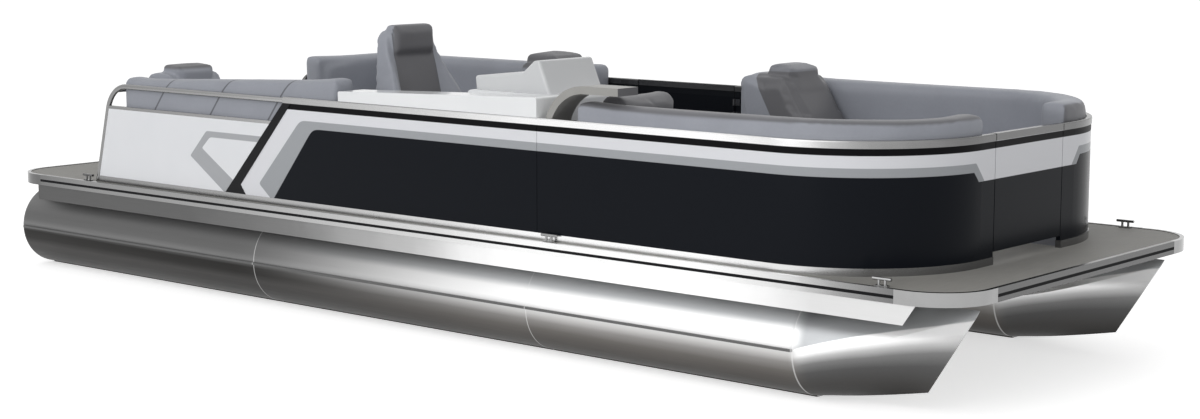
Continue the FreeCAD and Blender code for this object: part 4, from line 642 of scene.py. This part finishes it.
def chair_seams(finish):
    """The seams at the two sides of the chair back's insert."""
    middle = (finish.y - helm_middle).magnitude()
    front = facing(finish, BOW).above(0.2, 0.1)
    return near(middle, insert_half) * finish.z.above(seat_back_foot) * front


def headrest_tops(finish):
    """The upper part of every headrest, above the chaise that carries it."""
    return finish.z.above(1.405, 0.012)


def bow_port_front_shade(finish):
    """Painted shade on the port bow chaise ahead of a slanted line, and half as much on its
    headrest.
    """
    slope = finish.x - (1.335 - finish.z) * 0.557
    head = finish.z.above(1.475, 0.004)
    return slope.above(1.276, 0.004) * (1 - head) + head * 0.55


def painted_shade_on_tops(finish):
    """Painted shade on the faces that look up."""
    return facing(finish, UP).above(0.55, 0.2) * 0.9


def forward(finish):
    """Painted shade on the faces that look to the bow."""
    return facing(finish, BOW).above(0.6, 0.2) * 0.9


def whole_cushion_shade(finish):
    """All of a cushion, for painted shade over the whole of it, since every one stands above the
    keels.
    """
    return finish.z.above(0.0)


def side_seams(finish):
    """Three slanted divisions on the top and outer face of the aft starboard back."""
    upright = finish.x - (finish.z - 1.269) * 0.8
    slanted = near(upright, -2.14, 0.008) + near(upright, -1.588, 0.008)
    slanted = slanted + near(upright, -1.04, 0.008)
    return slanted * finish.y.below(-1.03)


def seat_seams(finish):
    """Two lines along each seat, set in from its edges."""
    out = finish.y.magnitude()
    return (near(out, 0.622) + near(out, 0.985)) * facing(finish, UP).above(0.6, 0.1)


plain_vinyl = seat_vinyl("seat_vinyl")
seat_top_vinyl = seat_vinyl("seat_vinyl_sewn", None, seat_seams)
side_vinyl = seat_vinyl("side_vinyl", None, side_seams)
headrest_vinyl = seat_vinyl("headrest_vinyl", headrest_tops)
# Painted shade over the whole starboard bow chaise back
dark_vinyl = seat_vinyl("dark_vinyl", whole_cushion_shade)
# Painted shade on the front of the port bow chaise
split_vinyl = seat_vinyl("split_vinyl", bow_port_front_shade)
# Painted shade on the tops of the starboard bow back
topped_vinyl = seat_vinyl("topped_vinyl", painted_shade_on_tops)
# Painted shade on the bow-facing faces of the port bow back
fronted_vinyl = seat_vinyl("fronted_vinyl", forward)
chair_vinyl = seat_vinyl("chair_vinyl", chair_insert, chair_seams)
vinyl_for = {"chair_cushions": chair_vinyl, "aft_back_starboard": side_vinyl,
             "chaise_back_bow_starboard": dark_vinyl, "chaise_back_bow_port": split_vinyl,
             "bow_back_starboard": topped_vinyl, "bow_back_port": fronted_vinyl}


def vinyl_of(name):
    """The vinyl of a cushion: its own, or that of its kind."""
    if name in vinyl_for:
        return vinyl_for[name]
    if name.startswith("chaise_back"):
        return headrest_vinyl
    return seat_top_vinyl if "lid" in name or "cushion" in name else plain_vinyl


# %% [markdown]
# ## Swelling the cushions
# A foam cushion is fullest in the middle of each face, and its cover pulls in along the seams.
# Blender's cloth does this well: a copy of the cushion is shrunk a little, remeshed into even
# faces, blown up with pressure and no gravity, and the result is kept. Each point is held within
# a set distance of its start, so that a cushion ends at most a few millimetres past its plain
# solid. The chair and one chaise are also shaped by place before they swell.

# %% Copy a soft solid
def copy_of(name):
    """A merged copy of a CAD node as a new object."""
    source = nodes[name]
    twin = bpy.data.objects.new("soft_" + name, source.data.copy())
    bpy.context.scene.collection.objects.link(twin)
    only(twin)
    bpy.ops.object.mode_set(mode="EDIT")
    bpy.ops.mesh.select_all(action="SELECT")
    bpy.ops.mesh.remove_doubles(threshold=0.0002)
    bpy.ops.mesh.normals_make_consistent(inside=False)
    bpy.ops.object.mode_set(mode="OBJECT")
    twin.data.materials.clear()
    return twin


def apply_all(piece):
    """Apply every modifier of a piece, first to last."""
    only(piece)
    for modifier in list(piece.modifiers):
        bpy.ops.object.modifier_apply(modifier=modifier.name)


# %% Shape two of the cushions
def eased(value, low, high):
    """A soft step from 0 to 1 as a value passes from low to high."""
    share = min(max((value - low) / (high - low), 0.0), 1.0)
    return share * share * (3 - 2 * share)


def shape_chair(place):
    """Wings that wrap forward beside the chair's back, and rounded ends on its pillow."""
    wing_depth, pillow_bow, pillow_half = 0.10, 0.045, 0.178
    out = abs(place.y - helm_middle)
    wing = eased(out, 0.165, 0.235) * (1 - eased(place.z, 1.28, 1.66))
    wing *= eased(place.z, 1.10, 1.16) * eased(place.x, -0.56, -0.46)
    place.x += wing_depth * wing
    if place.z > 1.575 and place.x > -0.32:
        place.x -= pillow_bow * min(out / pillow_half, 1.0) ** 2.5


def shape_bow_port(place):
    """The front of the port bow chaise leans back as it rises, and its headrest with it."""
    chaise_aft, chaise_length, setback = 1.075, 0.56, 0.17
    forward_share = max(0.0, (place.x - chaise_aft) / chaise_length)
    place.x -= setback * eased(place.z, 1.10, 1.50) * forward_share


shape_of = {"chair_cushions": shape_chair, "chaise_back_bow_port": shape_bow_port}


# %% Swell a cushion
inset_depth = 0.007
swell_reach = 0.012
air_pressure = 4.0
cloth_stiffness = 20
cloth_frames = 20


def swell(piece, face_size, shape):
    """Shrink a closed cushion a little and blow it up, with each point kept near its start."""
    shell = piece.modifiers.new("shrink", "DISPLACE")
    shell.strength = -inset_depth
    shell.mid_level = 0
    remesh = piece.modifiers.new("even", "REMESH")
    remesh.mode = "VOXEL"
    remesh.voxel_size = face_size
    apply_all(piece)
    if shape:
        for vertex in piece.data.vertices:
            shape(vertex.co)
    start = [vertex.co.copy() for vertex in piece.data.vertices]
    cloth = piece.modifiers.new("cloth", "CLOTH")
    cloth.settings.quality = 3
    cloth.settings.use_pressure = True
    cloth.settings.uniform_pressure_force = air_pressure
    cloth.settings.effector_weights.gravity = 0
    cloth.settings.tension_stiffness = cloth_stiffness
    cloth.settings.compression_stiffness = cloth_stiffness
    cloth.point_cache.frame_start = 1
    cloth.point_cache.frame_end = cloth_frames
    for frame_number in range(1, cloth_frames + 1):
        bpy.context.scene.frame_set(frame_number)
    apply_all(piece)
    bpy.context.scene.frame_set(1)
    for vertex, home in zip(piece.data.vertices, start):
        move = vertex.co - home
        if move.length > swell_reach:
            vertex.co = home + move.normalized() * swell_reach
    smooth = piece.modifiers.new("relax", "SMOOTH")
    smooth.factor = 0.5
    smooth.iterations = 3
    finer = piece.modifiers.new("finer", "SUBSURF")
    finer.levels = 1
    finer.render_levels = 1
    apply_all(piece)
    only(piece)
    bpy.ops.object.shade_smooth()
    return piece


# %% Make every cushion
kinds = ("seat_lid", "bow_cushions", "bow_back", "chaise_back", "aft_back", "stern_cushion",
         "chair_cushions")
fine, middling, coarse = 0.012, 0.016, 0.022
soft_nodes = [name for name in nodes if nodes[name] and name.startswith(kinds)]
body_of = {name: body for body, names in frame["record"]["behaviour"]["bodies"].items()
           for name in names}
clock = time.time()
for name in sorted(soft_nodes):
    face_size = middling if max(nodes[name].dimensions) < 1.1 else coarse
    if name.startswith(("chair", "chaise")):
        face_size = fine
    cushion = swell(copy_of(name), face_size, shape_of.get(name))
    vinyl_of(name).dress(cushion)
    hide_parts(name)
    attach(cushion, body_of[name])
    print(name, len(cushion.data.polygons), "faces at", round(time.time() - clock, 1), "s")

# %% [markdown]
# ## Gauges on the pod
# The pod's aft slope carries two round gauges, hidden from the bow. Each is a bezel ring round
# a dark face with plain tick marks and a needle, all joined as one piece.

# %% A disc or a ring
def disc(radius, depth, place, turn, material, hole=0.0):
    """A short cylinder, or a ring where a hole's radius is given, with rounded rims."""
    bpy.ops.mesh.primitive_cylinder_add(vertices=48, radius=radius, depth=depth,
                                        location=place, rotation=turn)
    piece = bpy.context.object
    if hole:
        bpy.context.tool_settings.mesh_select_mode = (False, False, True)
        for polygon in piece.data.polygons:
            polygon.select = len(polygon.vertices) > 4
        bpy.ops.object.mode_set(mode="EDIT")
        bpy.ops.mesh.inset(thickness=radius - hole)
        bpy.ops.mesh.bridge_edge_loops()
        bpy.ops.object.mode_set(mode="OBJECT")
    soft_rim = piece.modifiers.new("soft_rim", "BEVEL")
    soft_rim.width = depth * 0.2
    soft_rim.segments = 2
    apply_all(piece)
    piece.data.materials.append(material)
    return piece


# %% Finishes of the dial
gauge_face = Finish("gauge_face", srgb(18, 19, 22), 0.3)
face_rings = gauge_face.noise(600, 2)
gauge_face.set("Roughness", 0.24 + face_rings * 0.12)
gauge_mark = Finish("gauge_marks", srgb(220, 222, 224), 0.5)
mark_grain = gauge_mark.noise(800, 2)
gauge_mark.set("Roughness", 0.42 + mark_grain * 0.12)

# %% Directions on the pod's aft slope
slope = math.atan2(0.63, 0.78)
lean = Euler((0, -slope, 0))
outward = Vector((-math.sin(slope), 0, math.cos(slope)))
uphill = Vector((math.cos(slope), 0, math.sin(slope)))
sideways = Vector((0, 1, 0))
mark_height = 0.001
first_tick, tick_step, ticks = -130, 26, 11
needle_at = -70


def mark(centre, degrees, lift, reach, length, width):
    """A small flat bar along a ray of the dial, such as a tick or a needle."""
    angle = math.radians(degrees)
    ray = uphill * math.cos(angle) + sideways * math.sin(angle)
    turned = lean.to_matrix() @ Matrix.Rotation(angle, 3, "Z")
    bpy.ops.mesh.primitive_cube_add(size=1, location=centre + outward * lift + ray * reach,
                                    rotation=turned.to_euler())
    piece = bpy.context.object
    piece.scale = (length, width, mark_height)
    bpy.ops.object.transform_apply(location=False, rotation=False, scale=True)
    piece.data.materials.append(gauge_mark.material)
    return piece


def gauge(centre):
    """The bezel, face, ticks and needle of one gauge."""
    bezel = disc(0.040, 0.008, centre + outward * 0.003, lean, polished_metal.material, 0.033)
    face = disc(0.034, 0.004, centre + outward * 0.002, lean, gauge_face.material)
    marks = [mark(centre, first_tick + tick * tick_step, 0.0042, 0.027, 0.006, 0.0015)
             for tick in range(ticks)]
    return [bezel, face, *marks, mark(centre, needle_at, 0.0045, 0.010, 0.022, 0.002)]


# %% Make both gauges and join them
parts = gauge(Vector((0.815, -0.86, 1.5695))) + gauge(Vector((0.815, -0.655, 1.5695)))
gauges = only(parts[0])
for part in parts:
    part.select_set(True)
bpy.ops.object.join()
gauges.name = "pod_gauges"
only(gauges)
bpy.ops.object.transform_apply(location=True, rotation=True, scale=True)
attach(gauges, body_of["instrument_pod"])
print("gauges:", len(gauges.data.polygons), "faces")

# %% [markdown]
# ## Floor, world and lamps
# The floor and the world are white to the camera and to reflections, and the floor keeps the
# boat's shadow. The lamps are large and soft, so that a colour renders about as it is written.

# %% Floor
bpy.ops.mesh.primitive_plane_add(size=120, location=(0, 0, 0))
floor = bpy.context.object
floor.name = "studio_floor"
floor_finish = Finish("studio_floor", (0.8, 0.8, 0.8), 0.9, specular=0.0)
rays = floor_finish.start.add("ShaderNodeLightPath").socket.node.outputs
seen = Mask(floor_finish.tree, rays["Is Camera Ray"])
seen = seen + Mask(floor_finish.tree, rays["Is Glossy Ray"])
floor_glow = 0.62
floor_finish.set("Emission Color", mix_colours(seen, (0, 0, 0), (floor_glow,) * 3))
floor_finish.set("Emission Strength", 1.0)
floor_finish.dress(floor)

# %% World
world = bpy.data.worlds.new("studio")
bpy.context.scene.world = world
world.use_nodes = True
background = world.node_tree.nodes["Background"]
rays = Mask(world.node_tree).add("ShaderNodeLightPath").socket.node.outputs
shown = Mask(world.node_tree, rays["Is Camera Ray"])
shown = shown + Mask(world.node_tree, rays["Is Glossy Ray"])
shown = shown + Mask(world.node_tree, rays["Is Transmission Ray"])
sky_light = 0.55
strength = shown.maths("MINIMUM", 1.0) * (1 - sky_light) + sky_light
world.node_tree.links.new(strength.socket, background.inputs["Strength"])
background.inputs["Color"].default_value = (1, 1, 1, 1)

# %% Lamps
def lamp(name, place, aim, size, energy):
    """A large square lamp, soft enough to leave no hard shadow. Its energy is in watts."""
    data = bpy.data.lights.new(name, "AREA")
    data.size = size
    data.energy = energy
    light = bpy.data.objects.new(name, data)
    light.location = place
    light.rotation_euler = (Vector(aim) - Vector(place)).to_track_quat("-Z", "Y").to_euler()
    bpy.context.scene.collection.objects.link(light)


lamp("key_lamp", (1, -11, 8), (0.3, 0, 0.6), 13, 620)
lamp("low_lamp", (0, -14, 1.2), (0, 0, 0.4), 8, 180)
lamp("fill_lamp", (9, -3, 5), (0, 0, 0.6), 8, 40)
lamp("back_lamp", (-2, 10, 9), (0, 0, 0.6), 8, 90)
